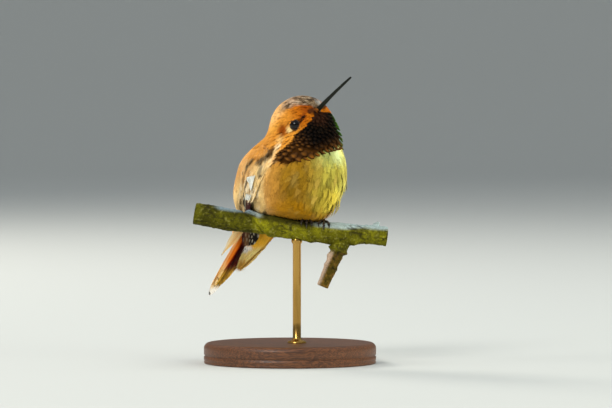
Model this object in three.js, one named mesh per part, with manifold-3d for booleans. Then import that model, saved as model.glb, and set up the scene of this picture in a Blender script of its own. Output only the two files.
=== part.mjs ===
// A male rufous hummingbird (Selasphorus rufus), life size, fluffed up and looking up along its shoulder.
// It grips a short cut length of twig, which a rod carries above a round base.
// Millimetres, +Z up. +X runs along the perch, -Y is towards the viewer, and the origin is the centre of the
// base's underside. The bird's own places are given as [ahead, right, up] from the centre of its trunk.

import * as THREE from "three";
import { mergeVertices } from "three/addons/utils/BufferGeometryUtils.js";
import Module from "manifold-3d";

const wasm = await Module();
wasm.setup();

// ---- Driving dimensions: millimetres and degrees ----

const partingGap = 0.3; // clear space where one solid is parted from the next
const billLength = 16.5; // exposed culmen
const billBaseRadius = 0.72;
const billTipRadius = 0.3;
const billBow = 0.2; // how far the bill arches above a straight line
const mandibleGap = 0.12;
const eyeRadius = 1.7;
const wingHalfWidth = 3.6;
const wingThickness = 0.9;
const tailFeatherLengths = [31.6, 28.8, 25.4, 21.8, 17.6]; // central pair first
const tailFeatherHalfWidths = [2.3, 2.1, 1.9, 1.6, 1.3];
const tailRootAside = [0.8, 1.4, 2, 2.7, 5]; // from the tail's axis to the root of each feather
const tailFanRight = [0.5, 1.5, 3, 6, 14]; // degrees from the tail's axis
const tailFanLeft = [0, -1.5, -3, -5, -8];
const tailFeatherThickness = 0.5;
const tailLayer = 0.65; // each pair lies this far under the one inside it
const tarsusRadius = 0.45;
const toeRadius = 0.4;
const clawRadius = 0.3;
const perchTop = 41; // the perch's upper side between the feet, above the floor
const perchAcross = -3; // the perch lies a little in front of the base's centre
const baseRadius = 25;
const baseHeight = 6;
const rodRadius = 1.2;
const rodStation = 2; // where the rod meets the perch, along X

const bodyYaw = 38; // heading, turned from +X towards the viewer
const headYaw = 42;
const headPitch = 37;
const headRoll = 16; // the head leans to its right
const tailPitch = -51;

// ---- Directions and places ----

const vec = (x, y, z) => new THREE.Vector3(x, y, z);
const radians = THREE.MathUtils.degToRad;
const worldUp = vec(0, 0, 1);

// Axes of a creature that is turned by yaw from +X towards -Y, pitched up and rolled onto its right side.
function axesOf(yaw, pitch = 0, roll = 0) {
  const [y, p, r] = [yaw, pitch, roll].map(radians);
  const forward = vec(Math.cos(p) * Math.cos(y), -Math.cos(p) * Math.sin(y), Math.sin(p));
  const levelRight = vec(-Math.sin(y), -Math.cos(y), 0);
  const levelUp = levelRight.clone().cross(forward);
  return {
    forward,
    right: levelRight.clone().multiplyScalar(Math.cos(r)).addScaledVector(levelUp, -Math.sin(r)),
    up: levelUp.clone().multiplyScalar(Math.cos(r)).addScaledVector(levelRight, Math.sin(r)),
  };
}

// The point that lies ahead, right and up of an origin, along a set of axes.
function placeIn(axes, origin, [ahead, right, up]) {
  return origin
    .clone()
    .addScaledVector(axes.forward, ahead)
    .addScaledVector(axes.right, right)
    .addScaledVector(axes.up, up);
}

const body = axesOf(bodyYaw);
const trunkCentre = vec(0.4, perchAcross + 5, perchTop + 12.4);
const onBody = (place) => placeIn(body, trunkCentre, place);

const head = axesOf(headYaw, headPitch, headRoll);
const headCentre = onBody([4, 0, 14.5]);
const onHead = (place) => placeIn(head, headCentre, place);

// The tail's axes: forward runs out along the tail, and up is the side that faces the sky.
const tail = (() => {
  const forward = placeIn(body, vec(0, 0, 0), [-Math.cos(radians(tailPitch)), 0, Math.sin(radians(tailPitch))]);
  return { forward, right: body.right.clone(), up: forward.clone().cross(body.right) };
})();
const tailRoot = onBody([-9.7, 0, -9.5]);
const onTail = (place) => placeIn(tail, tailRoot, place);

// ---- Solids ----

// A closed geometry as a manifold-3d solid.
function solidOf(geometry) {
  const bare = geometry.clone();
  bare.deleteAttribute("normal");
  bare.deleteAttribute("uv");
  const merged = mergeVertices(bare, 1e-4);
  return new wasm.Manifold(
    new wasm.Mesh({
      numProp: 3,
      vertProperties: merged.attributes.position.array,
      triVerts: new Uint32Array(merged.index.array),
    }),
  );
}

function geometryOf(solid) {
  const mesh = solid.getMesh();
  const geometry = new THREE.BufferGeometry();
  geometry.setAttribute("position", new THREE.BufferAttribute(mesh.vertProperties, 3));
  geometry.setIndex(new THREE.BufferAttribute(mesh.triVerts, 1));
  geometry.computeVertexNormals();
  return geometry;
}

// The part of a solid on the side of a plane that its normal points to, held back from it by half a gap.
function beyond(solid, point, normal) {
  const reach = 200;
  const block = new THREE.BoxGeometry(reach, reach, reach);
  block.translate(0, 0, reach / 2 + partingGap / 2);
  block.applyQuaternion(new THREE.Quaternion().setFromUnitVectors(worldUp, normal.clone().normalize()));
  block.translate(point.x, point.y, point.z);
  return solid.intersect(solidOf(block));
}

// The largest of a solid's separate bodies.
function largestBody(solid) {
  return solid.decompose().sort((a, b) => b.volume() - a.volume())[0];
}

// A solid that runs along a path. Its section is an ellipse, halfWidth across and halfDepth out, and camber
// bends its edges inwards. grow makes it larger all round, for cutting room into a neighbour.
function sweep({ path, outward, halfWidth, halfDepth, camber = 0, sides = 10, steps = 12 }, grow = 0) {
  const geometry = new THREE.CylinderGeometry(1, 1, 1, sides, steps);
  const position = geometry.attributes.position;
  for (let i = 0; i < position.count; i++) {
    const s = THREE.MathUtils.clamp(position.getY(i) + 0.5, 0, 1);
    const tangent = path.getTangentAt(s);
    const across = tangent.clone().cross(outward(s)).normalize();
    const out = across.clone().cross(tangent);
    const width = halfWidth(s, position.getX(i)) + grow;
    const sideways = position.getX(i) * width;
    const lift = position.getZ(i) * (halfDepth(s) + grow) - camber * (sideways / width) ** 2;
    const end = s < 1e-6 ? -grow : s > 1 - 1e-6 ? grow : 0;
    const point = path
      .getPointAt(s)
      .addScaledVector(across, sideways)
      .addScaledVector(out, lift)
      .addScaledVector(tangent, end);
    position.setXYZ(i, point.x, point.y, point.z);
  }
  return solidOf(geometry);
}

const curveThrough = (points) => new THREE.CatmullRomCurve3(points, false, "centripetal");

// Value at s of a line drawn smoothly through evenly spaced levels.
function levelAt(levels, s) {
  const reach = s * (levels.length - 1);
  const i = Math.min(Math.floor(reach), levels.length - 2);
  return THREE.MathUtils.lerp(levels[i], levels[i + 1], THREE.MathUtils.smoothstep(reach - i, 0, 1));
}

// ---- The fluffed body: balls that melt into one another ----

// Each ball has its centre, its axes and its radii [ahead, sideways, upright].
const bodyBalls = [
  { centre: onBody([0.6, 0, -0.2]), axes: axesOf(bodyYaw, 55), radii: [15.2, 13.4, 14.6] }, // trunk
  { centre: onBody([4.4, 0, 3.2]), axes: axesOf(bodyYaw, 60), radii: [12.4, 12.2, 12.4] }, // breast
  { centre: onBody([-8.8, 0, -3.2]), axes: axesOf(bodyYaw, 60), radii: [11.4, 9.8, 9.6] }, // rump
  { centre: onBody([-5.2, 0, 1.8]), axes: body, radii: [10.9, 11.4, 8.4] }, // shoulders
  { centre: onBody([1, 0, 9.4]), axes: body, radii: [7.4, 7.8, 6.6] }, // neck
  { centre: headCentre, axes: head, radii: [10, 8.7, 9.6] }, // head
  { centre: onHead([2.2, 0, -5.8]), axes: head, radii: [5.6, 7.4, 6.2] }, // throat
];
const meltingWidth = 2.4;
// The belly flattens where it sits on the perch, and slopes down behind it to the vent.
const lap = { point: vec(0.6, perchAcross - 1.2, perchTop + 1.4), slope: [0.14, 0.4, 1], softness: 1.6 };

function ballField({ centre, axes, radii }, point) {
  const offset = point.clone().sub(centre);
  const scaled = vec(offset.dot(axes.forward), offset.dot(axes.right), offset.dot(axes.up));
  const once = scaled.divide(vec(...radii));
  const reach = once.length();
  const slope = once.clone().divide(vec(...radii)).length();
  return (reach * (reach - 1)) / Math.max(slope, 1e-6);
}

const softLeast = (a, b, width) => {
  const mix = THREE.MathUtils.clamp(0.5 + (0.5 * (b - a)) / width, 0, 1);
  return THREE.MathUtils.lerp(b, a, mix) - width * mix * (1 - mix);
};

// Below zero inside the body, above zero outside, and near the distance to its surface in between.
function bodyField(point) {
  const balls = bodyBalls.map((ball) => ballField(ball, point)).reduce((a, b) => softLeast(a, b, meltingWidth));
  const aboveLap = point.clone().sub(lap.point).dot(vec(...lap.slope).normalize());
  return -softLeast(-balls, aboveLap, lap.softness);
}

// A sphere's points, each drawn in along its ray until it meets the body's surface.
function fluffedBody() {
  const heart = onBody([1.4, 0, 6.8]); // inside both the trunk and the head, and in sight of every surface
  const geometry = new THREE.SphereGeometry(1, 30, 21);
  geometry.rotateX(Math.PI / 2);
  const position = geometry.attributes.position;
  for (let i = 0; i < position.count; i++) {
    const ray = vec().fromBufferAttribute(position, i).normalize();
    let distance = 60;
    for (let turn = 0; turn < 60; turn++)
      distance -= 0.7 * bodyField(heart.clone().addScaledVector(ray, distance));
    const point = heart.clone().addScaledVector(ray, distance);
    position.setXYZ(i, point.x, point.y, point.z);
  }
  return solidOf(geometry);
}

// The body's outward direction at a point.
function bodyNormal(point) {
  const step = 0.05;
  const slope = (axis) =>
    bodyField(point.clone().addScaledVector(axis, step)) - bodyField(point.clone().addScaledVector(axis, -step));
  return vec(slope(vec(1, 0, 0)), slope(vec(0, 1, 0)), slope(worldUp)).normalize();
}

// A point moved along the body's outward direction until it stands off the surface by lift.
function laidOnBody(point, lift) {
  const laid = point.clone();
  for (let turn = 0; turn < 20; turn++) laid.addScaledVector(bodyNormal(laid), 0.8 * (lift - bodyField(laid)));
  return laid;
}

// ---- Bill and eyes ----

const billRoot = onHead([7, 0, 0.7]);
const billPath = new THREE.QuadraticBezierCurve3(
  billRoot,
  placeIn(head, billRoot, [(billLength + 1) / 2, 0, 2 * billBow]),
  placeIn(head, billRoot, [billLength + 1, 0, 0]),
);
const billSpec = {
  path: billPath,
  outward: () => head.up,
  halfWidth: (s) => levelAt([billBaseRadius * 1.2, billBaseRadius * 0.9, 0.48, 0.4, billTipRadius], s),
  halfDepth: (s) => levelAt([billBaseRadius * 1.1, billBaseRadius * 0.85, 0.48, 0.4, billTipRadius], s),
  sides: 8,
  steps: 9,
};
// The line where the mandibles meet: a thin curved sheet, a little below the middle of the bill.
const mouthLine = sweep({
  ...billSpec,
  path: new THREE.QuadraticBezierCurve3(
    ...[billPath.v0, billPath.v1, billPath.v2].map((p) => p.clone().addScaledVector(head.up, -0.08)),
  ),
  halfWidth: () => 3,
  halfDepth: () => mandibleGap / 2,
});

function mandibles() {
  const parts = sweep(billSpec).subtract(mouthLine).decompose();
  const height = (part) => {
    const box = part.boundingBox();
    return box.max[2];
  };
  parts.sort((a, b) => b.volume() - a.volume());
  const [one, other] = parts;
  return height(one) > height(other) ? [one, other] : [other, one];
}

const eyePlaces = { right: [3.7, 6.9, 0.8], left: [3.7, -6.9, 0.8] };

function eyeball(side, grow = 0) {
  const centre = onHead(eyePlaces[side]);
  const geometry = new THREE.SphereGeometry(eyeRadius + grow, 14, 9);
  geometry.translate(centre.x, centre.y, centre.z);
  return solidOf(geometry);
}

// ---- Wings, folded against the trunk ----

const wingSides = { right: 1, left: -1 };
// The middle of the folded wing from the wrist to the tip, as [ahead, outwards, up]. Where a fourth number
// is given, the point is laid on the body and stands off it by that much.
const wingPlaces = [
  [-0.6, 10.4, 8.2, 0.3],
  [-4, 12.4, 2.4, 0.35],
  [-7, 11, -4.6, 0.4],
  [-10, 7.8, -11.4],
  [-11.6, 6, -18.8],
];
// Where along the wing its coverts end and its flight feathers show.
const covertsEnd = 0.36;

function wingParts(side) {
  const sign = wingSides[side];
  const path = curveThrough(
    wingPlaces.map(([ahead, out, up, lift]) => {
      const point = onBody([ahead, sign * out, up]);
      return lift === undefined ? point : laidOnBody(point, lift);
    }),
  );
  // It faces outwards at the shoulder and turns to face the sky over the tail.
  const facing = { ahead: [0.05, -0.2, -0.5, -0.5], right: [1, 0.9, 0.6, 0.5], up: [0.35, 0.25, 0.35, 0.5] };
  const outward = (s) =>
    placeIn(body, vec(0, 0, 0), [
      levelAt(facing.ahead, s),
      sign * levelAt(facing.right, s),
      levelAt(facing.up, s),
    ]).normalize();
  // The leading edge is one long bow; the trailing edge steps in where the secondaries end.
  const edges = { leading: [0.4, 0.95, 1, 0.8, 0.5, 0.12], trailing: [0.5, 1.25, 1.5, 1.25, 0.6, 0.14] };
  const spec = {
    path,
    outward,
    halfWidth: (s, across) => wingHalfWidth * levelAt(sign * across > 0 ? edges.trailing : edges.leading, s),
    halfDepth: (s) => (wingThickness / 2) * levelAt([1.5, 1.5, 1.1, 0.9, 0.7], s),
    camber: 0.9,
    sides: 10,
    steps: 11,
  };
  const blade = sweep(spec).subtract(sweep(perchSpec, partingGap));
  const joint = path.getPointAt(covertsEnd);
  const along = path.getTangentAt(covertsEnd);
  const flight = beyond(blade, joint, along);
  // The seam between primaries and secondaries runs towards the tip, a little behind the wing's middle.
  const chord = path.getPointAt(1).sub(joint).normalize();
  const behind = chord.clone().cross(outward(0.6)).multiplyScalar(sign).normalize();
  const seam = joint.clone().addScaledVector(behind, 1.1);
  return {
    coverts: beyond(blade, joint, along.clone().negate()),
    primaries: beyond(flight, seam, behind.clone().negate()),
    secondaries: beyond(flight, seam, behind),
    room: sweep(spec, partingGap),
  };
}

// ---- Tail ----

function tailFeatherSpec(sign, rank) {
  const fan = radians((sign > 0 ? tailFanRight : tailFanLeft)[rank]);
  const length = tailFeatherLengths[rank];
  const halfWidth = tailFeatherHalfWidths[rank];
  const droop = -0.045 * length; // the tip hangs below the tail's plane
  const along = (part) => [
    length * part * Math.cos(fan),
    sign * (tailRootAside[rank] + length * part * Math.sin(fan)),
    1.2 - tailLayer * rank + droop * part * part,
  ];
  return {
    path: curveThrough([0.06, 0.35, 0.7, 1].map((part) => onTail(along(part)))),
    outward: () => tail.up,
    halfWidth: (s) => halfWidth * levelAt([0.4, 0.75, 1, 1, 0.8, 0.13], s),
    halfDepth: () => tailFeatherThickness / 2,
    sides: 6,
    steps: 6,
  };
}

// Each pair has a layer of its own, and its left feather is cut back where the right one lies over it.
function tailFeathers() {
  const feathers = new Map();
  const cutAtRoot = (solid) => beyond(solid, tailCut.point, tailCut.normal);
  for (let rank = 0; rank < tailFeatherLengths.length; rank++) {
    const [right, left] = [tailFeatherSpec(1, rank), tailFeatherSpec(-1, rank)];
    const overlaid = sweep(left).subtract(sweep(right, partingGap));
    feathers.set(`tail_feather_right_${rank + 1}`, largestBody(cutAtRoot(sweep(right)).subtract(wings.right.room)));
    feathers.set(`tail_feather_left_${rank + 1}`, largestBody(cutAtRoot(overlaid).subtract(wings.left.room)));
  }
  return feathers;
}

// The plane that parts the tail from the rump.
const tailCut = { point: onTail([2.6, 0, 0]), normal: tail.forward };

// Soft bundles of coverts over and under the root of the tail.
function covertBundle(places, halfWidths, halfDepths) {
  const spec = {
    path: curveThrough(places.map(onTail)),
    outward: () => tail.up,
    halfWidth: (s) => levelAt(halfWidths, s),
    halfDepth: (s) => levelAt(halfDepths, s),
    sides: 10,
    steps: 9,
  };
  return {
    solid: beyond(sweep(spec), tailCut.point, tailCut.normal),
    room: sweep(spec, partingGap),
  };
}
const tailCoverts = {
  under: covertBundle([[-3, 0, -4.2], [6, 0, -3.9], [19.5, -0.4, -3]], [3.5, 5.2, 4.4, 2.8, 0.7], [2.4, 2.1, 1.6, 1, 0.4]),
  upper: covertBundle([[-4, 0, 4.4], [4, 0, 3.9], [14.5, 0, 2.2]], [4.4, 5.8, 5, 3.4, 0.8], [2.4, 2, 1.6, 0.9, 0.4]),
};

// ---- Perch ----

const perchLine = [
  [-27.5, 0.4, 2.5],
  [-18, -0.3, 0.9],
  [-9, 0, -0.3],
  [0.6, 0.2, -2],
  [8.5, 0, -2.95],
  [16, -0.2, -3.6],
  [22, 0, -3.5],
  [28, 0.5, -4.1],
].map(([x, y, z]) => vec(x, perchAcross + y, perchTop + z));

const perchSpec = {
  path: curveThrough(perchLine),
  outward: () => worldUp,
  halfWidth: (s) => levelAt([3.05, 3.15, 3.05, 2.9, 2.85, 2.9, 3.5, 2.85, 2.75], s),
  halfDepth: (s) => levelAt([3.1, 3.25, 3.0, 2.9, 2.85, 2.9, 3.4, 2.8, 2.75], s),
  sides: 12,
  steps: 16,
};
// A side twig leaves the knot at the perch's right and runs down to a cut end.
const twigSpec = {
  path: curveThrough([
    vec(15.6, perchAcross - 0.2, perchTop - 3.6),
    vec(13.9, perchAcross - 0.6, perchTop - 8),
    vec(11.7, perchAcross - 0.9, perchTop - 13),
    vec(9.4, perchAcross - 1.2, perchTop - 18.5),
  ]),
  outward: () => vec(0, -1, 0),
  halfWidth: (s) => levelAt([3, 2.5, 1.9, 1.8, 1.7], s),
  halfDepth: (s) => levelAt([2.8, 2.4, 1.9, 1.8, 1.7], s),
  sides: 9,
  steps: 6,
};
const budSpec = {
  path: curveThrough([vec(24.4, perchAcross, perchTop - 2.4), vec(25.6, perchAcross - 0.2, perchTop + 0.1)]),
  outward: () => vec(0, -1, 0),
  halfWidth: (s) => levelAt([1.5, 1.2, 0.4], s),
  halfDepth: (s) => levelAt([1.4, 1.1, 0.4], s),
  sides: 7,
  steps: 3,
};

// ---- Legs, toes and claws ----

// Where each foot stands along the perch.
const footStations = { right: 4.8, left: 9.8 };

// The middle of the perch at a station along X.
function perchMiddle(x) {
  let [low, high] = [0, 1];
  for (let turn = 0; turn < 30; turn++) {
    const middle = (low + high) / 2;
    if (perchSpec.path.getPointAt(middle).x < x) low = middle;
    else high = middle;
  }
  return perchSpec.path.getPointAt(low);
}

// A point on a circle round the perch: angle 0 faces the viewer and 90 is the top.
function roundPerch(x, angle, radius) {
  const middle = perchMiddle(x);
  return vec(x, middle.y - radius * Math.cos(radians(angle)), middle.z + radius * Math.sin(radians(angle)));
}

// Four toes to a foot: where each one ends beside the foot, and the angles that it and its claw reach.
const toes = [
  { name: "inner", aside: -1.5, from: 96, to: 50, claw: 26 },
  { name: "middle", aside: 0, from: 96, to: 40, claw: 14 },
  { name: "outer", aside: 1.5, from: 96, to: 52, claw: 28 },
  { name: "hind", aside: 0.3, from: 104, to: 148, claw: 174 },
];
const toeRing = 2.92 + toeRadius + 0.2; // from the perch's middle to the middle of a toe

function toeSpec(x, { aside, from, to }) {
  const path = curveThrough(
    [0, 0.25, 0.5, 0.75, 1].map((part) =>
      roundPerch(x + aside * Math.sqrt(part), THREE.MathUtils.lerp(from, to, part), toeRing),
    ),
  );
  return {
    path,
    outward: () => vec(1, 0, 0),
    halfWidth: (s) => toeRadius * levelAt([1.1, 0.95, 1.05, 0.9, 1], s),
    halfDepth: (s) => toeRadius * levelAt([1.1, 0.95, 1.05, 0.9, 1], s),
    sides: 5,
    steps: 4,
  };
}

function clawSpec(x, { aside, to, claw }) {
  const turn = Math.sign(claw - to);
  const path = curveThrough(
    [0, 0.5, 1].map((part) =>
      roundPerch(x + aside, THREE.MathUtils.lerp(to + 5 * turn, claw, part), toeRing + 0.1 - 0.12 * part),
    ),
  );
  return {
    path,
    outward: () => vec(1, 0, 0),
    halfWidth: (s) => clawRadius * levelAt([1, 0.85, 0.5], s),
    halfDepth: (s) => clawRadius * levelAt([1, 0.85, 0.5], s),
    sides: 5,
    steps: 3,
  };
}

function legSpec(x) {
  const ankle = roundPerch(x, 98, toeRing + 0.75);
  const knee = ankle.clone().add(vec(-2, 1.5, 3.8));
  return {
    path: curveThrough([ankle, ankle.clone().lerp(knee, 0.5).add(vec(0.1, 0, 0)), knee]),
    outward: () => vec(1, 0, 0),
    halfWidth: (s) => tarsusRadius * levelAt([1, 0.9, 1.2], s),
    halfDepth: (s) => tarsusRadius * levelAt([1, 0.9, 1.2], s),
    sides: 7,
    steps: 3,
  };
}

// Clear space in the plumage round a foot.
function footRoom(x) {
  const joint = roundPerch(x, 90, toeRing);
  const geometry = new THREE.SphereGeometry(1, 8, 6);
  geometry.scale(2.6, 2.9, 1.4);
  geometry.translate(joint.x, joint.y, joint.z);
  const hindToe = toes.find((toe) => toe.name === "hind");
  return solidOf(geometry).add(sweep({ ...toeSpec(x, hindToe), steps: 2 }, partingGap));
}

function footSolid(x) {
  const joint = roundPerch(x, 98, toeRing + 0.05);
  const pad = new THREE.SphereGeometry(toeRadius * 1.35, 8, 6);
  pad.translate(joint.x, joint.y, joint.z);
  return toes.reduce((foot, toe) => foot.add(sweep(toeSpec(x, toe))), solidOf(pad));
}

// ---- Stand ----

function discSolid(radius, height, bevel) {
  const profile = [
    new THREE.Vector2(0, 0),
    new THREE.Vector2(radius, 0),
    new THREE.Vector2(radius, height - bevel),
    new THREE.Vector2(radius - bevel * 0.3, height - bevel * 0.3),
    new THREE.Vector2(radius - bevel, height),
    new THREE.Vector2(0, height),
  ];
  const geometry = new THREE.LatheGeometry(profile, 36);
  geometry.rotateX(Math.PI / 2);
  return solidOf(geometry);
}

function rodSolid(x) {
  const y = perchMiddle(x).y;
  const top = perchMiddle(x).z;
  const geometry = new THREE.CylinderGeometry(rodRadius, rodRadius, top - baseHeight, 16);
  geometry.rotateX(Math.PI / 2);
  geometry.translate(x, y, (top + baseHeight) / 2);
  return largestBody(solidOf(geometry).subtract(sweep(perchSpec, 0.1)));
}

// ---- Parting the body ----

const wings = { right: wingParts("right"), left: wingParts("left") };
const [upperMandible, lowerMandible] = mandibles();

function fleshParts() {
  let whole = fluffedBody();
  const rooms = [
    sweep(perchSpec, partingGap),
    sweep(billSpec, 0.15),
    eyeball("right", 0.12),
    eyeball("left", 0.12),
    wings.right.room,
    wings.left.room,
    ...Object.values(footStations).map((x) => sweep(legSpec(x), partingGap)),
    ...Object.values(footStations).map((x) => footRoom(x)),
  ];
  whole = rooms.reduce((solid, room) => solid.subtract(room), whole);
  whole = beyond(whole, tailCut.point, tailCut.normal.clone().negate());

  // The collar is the plane between head and neck, and the yoke the plane between neck and trunk.
  const planeOf = (axes, point, slope) => ({ point, normal: placeIn(axes, vec(0, 0, 0), slope).normalize() });
  const collar = planeOf(body, onBody([0, 0, 10.1]), [0.1, 0.36, 1]);
  const yoke = planeOf(body, onBody([0, 0, 5.4]), [0.16, 0.1, 1]);
  const vent = planeOf(body, onBody([-7.4, 0, -6.2]), [0.72, 0, 0.9]);
  // The gorget's upper edges run from the chin back and down, and rise towards the cheeks.
  const edges = [1, -1].map((sign) => planeOf(head, onHead([8, 0, -1.3]), [-0.4, -0.18 * sign, 1]));
  const side = (solid, plane, sign) => beyond(solid, plane.point, plane.normal.clone().multiplyScalar(sign));

  const top = side(whole, collar, 1);
  const below = side(whole, collar, -1);
  return {
    head: side(side(top, edges[0], 1), edges[1], 1),
    throat: side(top, edges[0], -1).add(side(top, edges[1], -1)),
    neck: side(below, yoke, 1),
    trunk: side(side(below, yoke, -1), vent, 1),
    rump: side(side(below, yoke, -1), vent, -1),
  };
}

// ---- The model ----

const finish = (color, roughness, metalness = 0) => new THREE.MeshStandardMaterial({ color, roughness, metalness });
const finishes = {
  rufous: finish(0xc98236, 0.85),
  belly: finish(0xc9a14c, 0.9),
  gorget: finish(0x2a1a10, 0.5),
  horn: finish(0x17130f, 0.4),
  eye: finish(0x050505, 0.08),
  flight: finish(0x3a2c22, 0.6),
  tail: finish(0xc7712a, 0.6),
  leg: finish(0x1b1814, 0.6),
  bark: finish(0x6a6226, 0.9),
  wood: finish(0x4a2f1c, 0.5),
  brass: finish(0xb08d46, 0.35, 1),
};

const hummingbird = new THREE.Group();

function addNode(name, solid, material) {
  const mesh = new THREE.Mesh(geometryOf(solid), material);
  mesh.name = name;
  hummingbird.add(mesh);
}

const flesh = fleshParts();
addNode("head", largestBody(flesh.head), finishes.rufous);
addNode("throat", largestBody(flesh.throat), finishes.gorget);
addNode("neck", largestBody(flesh.neck), finishes.rufous);
addNode("trunk", largestBody(flesh.trunk), finishes.belly);
addNode("rump", largestBody(flesh.rump), finishes.rufous);
addNode("bill_upper", upperMandible, finishes.horn);
addNode("bill_lower", lowerMandible, finishes.horn);
for (const side of Object.keys(wingSides)) {
  addNode(`eye_${side}`, eyeball(side), finishes.eye);
  addNode(`wing_${side}_coverts`, wings[side].coverts, finishes.rufous);
  addNode(`wing_${side}_primaries`, wings[side].primaries, finishes.flight);
  addNode(`wing_${side}_secondaries`, wings[side].secondaries, finishes.flight);
  const x = footStations[side];
  addNode(`leg_${side}`, sweep(legSpec(x)), finishes.leg);
  addNode(`foot_${side}`, footSolid(x), finishes.leg);
  for (const toe of toes) addNode(`claw_${side}_${toe.name}`, sweep(clawSpec(x, toe)), finishes.horn);
}
addNode("tail_coverts_under", tailCoverts.under.solid, finishes.belly);
addNode("tail_coverts_upper", tailCoverts.upper.solid, finishes.rufous);
for (const [name, solid] of tailFeathers()) addNode(name, solid, finishes.tail);

addNode("perch", sweep(perchSpec).add(sweep(twigSpec)).add(sweep(budSpec)), finishes.bark);
addNode("stand_base", discSolid(baseRadius, baseHeight, 1.6), finishes.wood);
addNode("stand_rod", rodSolid(rodStation), finishes.brass);

export default hummingbird;
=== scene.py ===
"""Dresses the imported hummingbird: skin, coat of feathers, wings, tail, bill, eyes, feet, perch and stand.

Lengths are millimetres in the row frame until a mesh is made. There +Z is up and -Y is the viewer's side.
Places on the bird are [ahead, right, up] from the centre of its trunk, its head or its tail's root.
"""

import math

import bpy
import numpy as np
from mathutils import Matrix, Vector


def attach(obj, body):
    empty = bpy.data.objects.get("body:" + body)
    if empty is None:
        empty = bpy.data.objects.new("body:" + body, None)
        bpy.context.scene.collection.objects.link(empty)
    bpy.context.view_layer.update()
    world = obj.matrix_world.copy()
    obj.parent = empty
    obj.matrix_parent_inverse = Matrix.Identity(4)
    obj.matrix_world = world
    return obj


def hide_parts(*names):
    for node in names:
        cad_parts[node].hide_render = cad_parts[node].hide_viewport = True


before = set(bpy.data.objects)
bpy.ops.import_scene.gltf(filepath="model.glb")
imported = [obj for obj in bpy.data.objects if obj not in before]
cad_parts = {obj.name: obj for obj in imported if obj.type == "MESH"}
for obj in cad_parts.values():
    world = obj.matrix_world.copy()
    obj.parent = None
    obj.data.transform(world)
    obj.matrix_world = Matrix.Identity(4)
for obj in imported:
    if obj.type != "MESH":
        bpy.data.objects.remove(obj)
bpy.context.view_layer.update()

MM = 0.001
ROOT = "root"
rng = np.random.default_rng(7)


# ---- Driving dimensions: those of the solids, except that the tail feathers have their own ----

BILL_LENGTH = 16.5
BILL_BASE_RADIUS = 0.72
BILL_TIP_RADIUS = 0.3
BILL_BOW = 0.2
EYE_RADIUS = 1.7
EYE_PLACE = (3.7, 6.9, 0.8)
WING_HALF_WIDTH = 3.6
WING_PLACES = (
    (-0.6, 10.4, 8.2, 0.3),
    (-4, 12.4, 2.4, 0.35),
    (-7, 11, -4.6, 0.4),
    (-10, 7.8, -11.4, None),
    (-11.6, 6, -18.8, None),
)
WING_LEADING = (0.4, 0.95, 1, 0.8, 0.5, 0.12)
WING_TRAILING = (0.5, 1.25, 1.5, 1.25, 0.6, 0.14)
# Each tail feather's length, half width, root's distance from the middle, and turn outwards in degrees.
TAIL_RIGHT = (
    (32.4, 2.3, 1.6, -0.9),
    (28.8, 2.1, 2.6, -0.9),
    (25.4, 1.9, 3.6, -0.6),
    (21.8, 1.7, 4.6, 1),
    (15.6, 2.3, 8.2, 10.5),
)
TAIL_LEFT = (
    (29.0, 1.9, 0.6, 0),
    (27.6, 1.7, 1.05, -1.5),
    (25.4, 1.56, 1.5, -3),
    (21.8, 1.3, 2, -5),
    (17.6, 1.07, 3.75, -8),
)
TAIL_LAYER = 0.65
TARSUS_RADIUS = 0.45
TOE_RADIUS = 0.4
CLAW_RADIUS = 0.3
PERCH_TOP = 41.0
PERCH_ACROSS = -3.0
BASE_RADIUS = 25.0
BASE_HEIGHT = 6.0
ROD_RADIUS = 1.2
ROD_STATION = 2.0
FEET = {"right": 4.8, "left": 9.8}
SIDES = {"right": 1, "left": -1}


# ---- Directions and places ----


def unit(v):
    return v / np.maximum(np.linalg.norm(v, axis=-1, keepdims=True), 1e-9)


def axes_of(yaw, pitch=0, roll=0):
    """Rows are forward, right and up of a creature yawed from +X towards -Y, pitched up and rolled right."""
    y, p, r = np.radians([yaw, pitch, roll])
    forward = np.array([np.cos(p) * np.cos(y), -np.cos(p) * np.sin(y), np.sin(p)])
    level_right = np.array([-np.sin(y), -np.cos(y), 0])
    level_up = np.cross(level_right, forward)
    right = level_right * np.cos(r) - level_up * np.sin(r)
    up = level_up * np.cos(r) + level_right * np.sin(r)
    return np.array([forward, right, up])


class Place:
    """A frame of reference: an origin and axes."""

    def __init__(self, origin, axes):
        self.origin = np.asarray(origin, float)
        self.axes = axes

    def out(self, place):
        return self.origin + np.asarray(place, float) @ self.axes

    def into(self, points):
        return (points - self.origin) @ self.axes.T

    def turn(self, direction):
        return np.asarray(direction, float) @ self.axes


trunk = Place([0.4, PERCH_ACROSS + 5, PERCH_TOP + 12.4], axes_of(38))
head = Place(trunk.out([4, 0, 14.5]), axes_of(42, 37, 16))


def tail_place():
    pitch = math.radians(-51)
    forward = trunk.turn([-math.cos(pitch), 0, math.sin(pitch)])
    right = trunk.axes[1]
    return Place(trunk.out([-9.7, 0, -9.5]), np.array([forward, right, np.cross(forward, right)]))


tail = tail_place()
bill_root = head.out([7, 0, 0.7])


# ---- The fluffed body's surface ----

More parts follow.
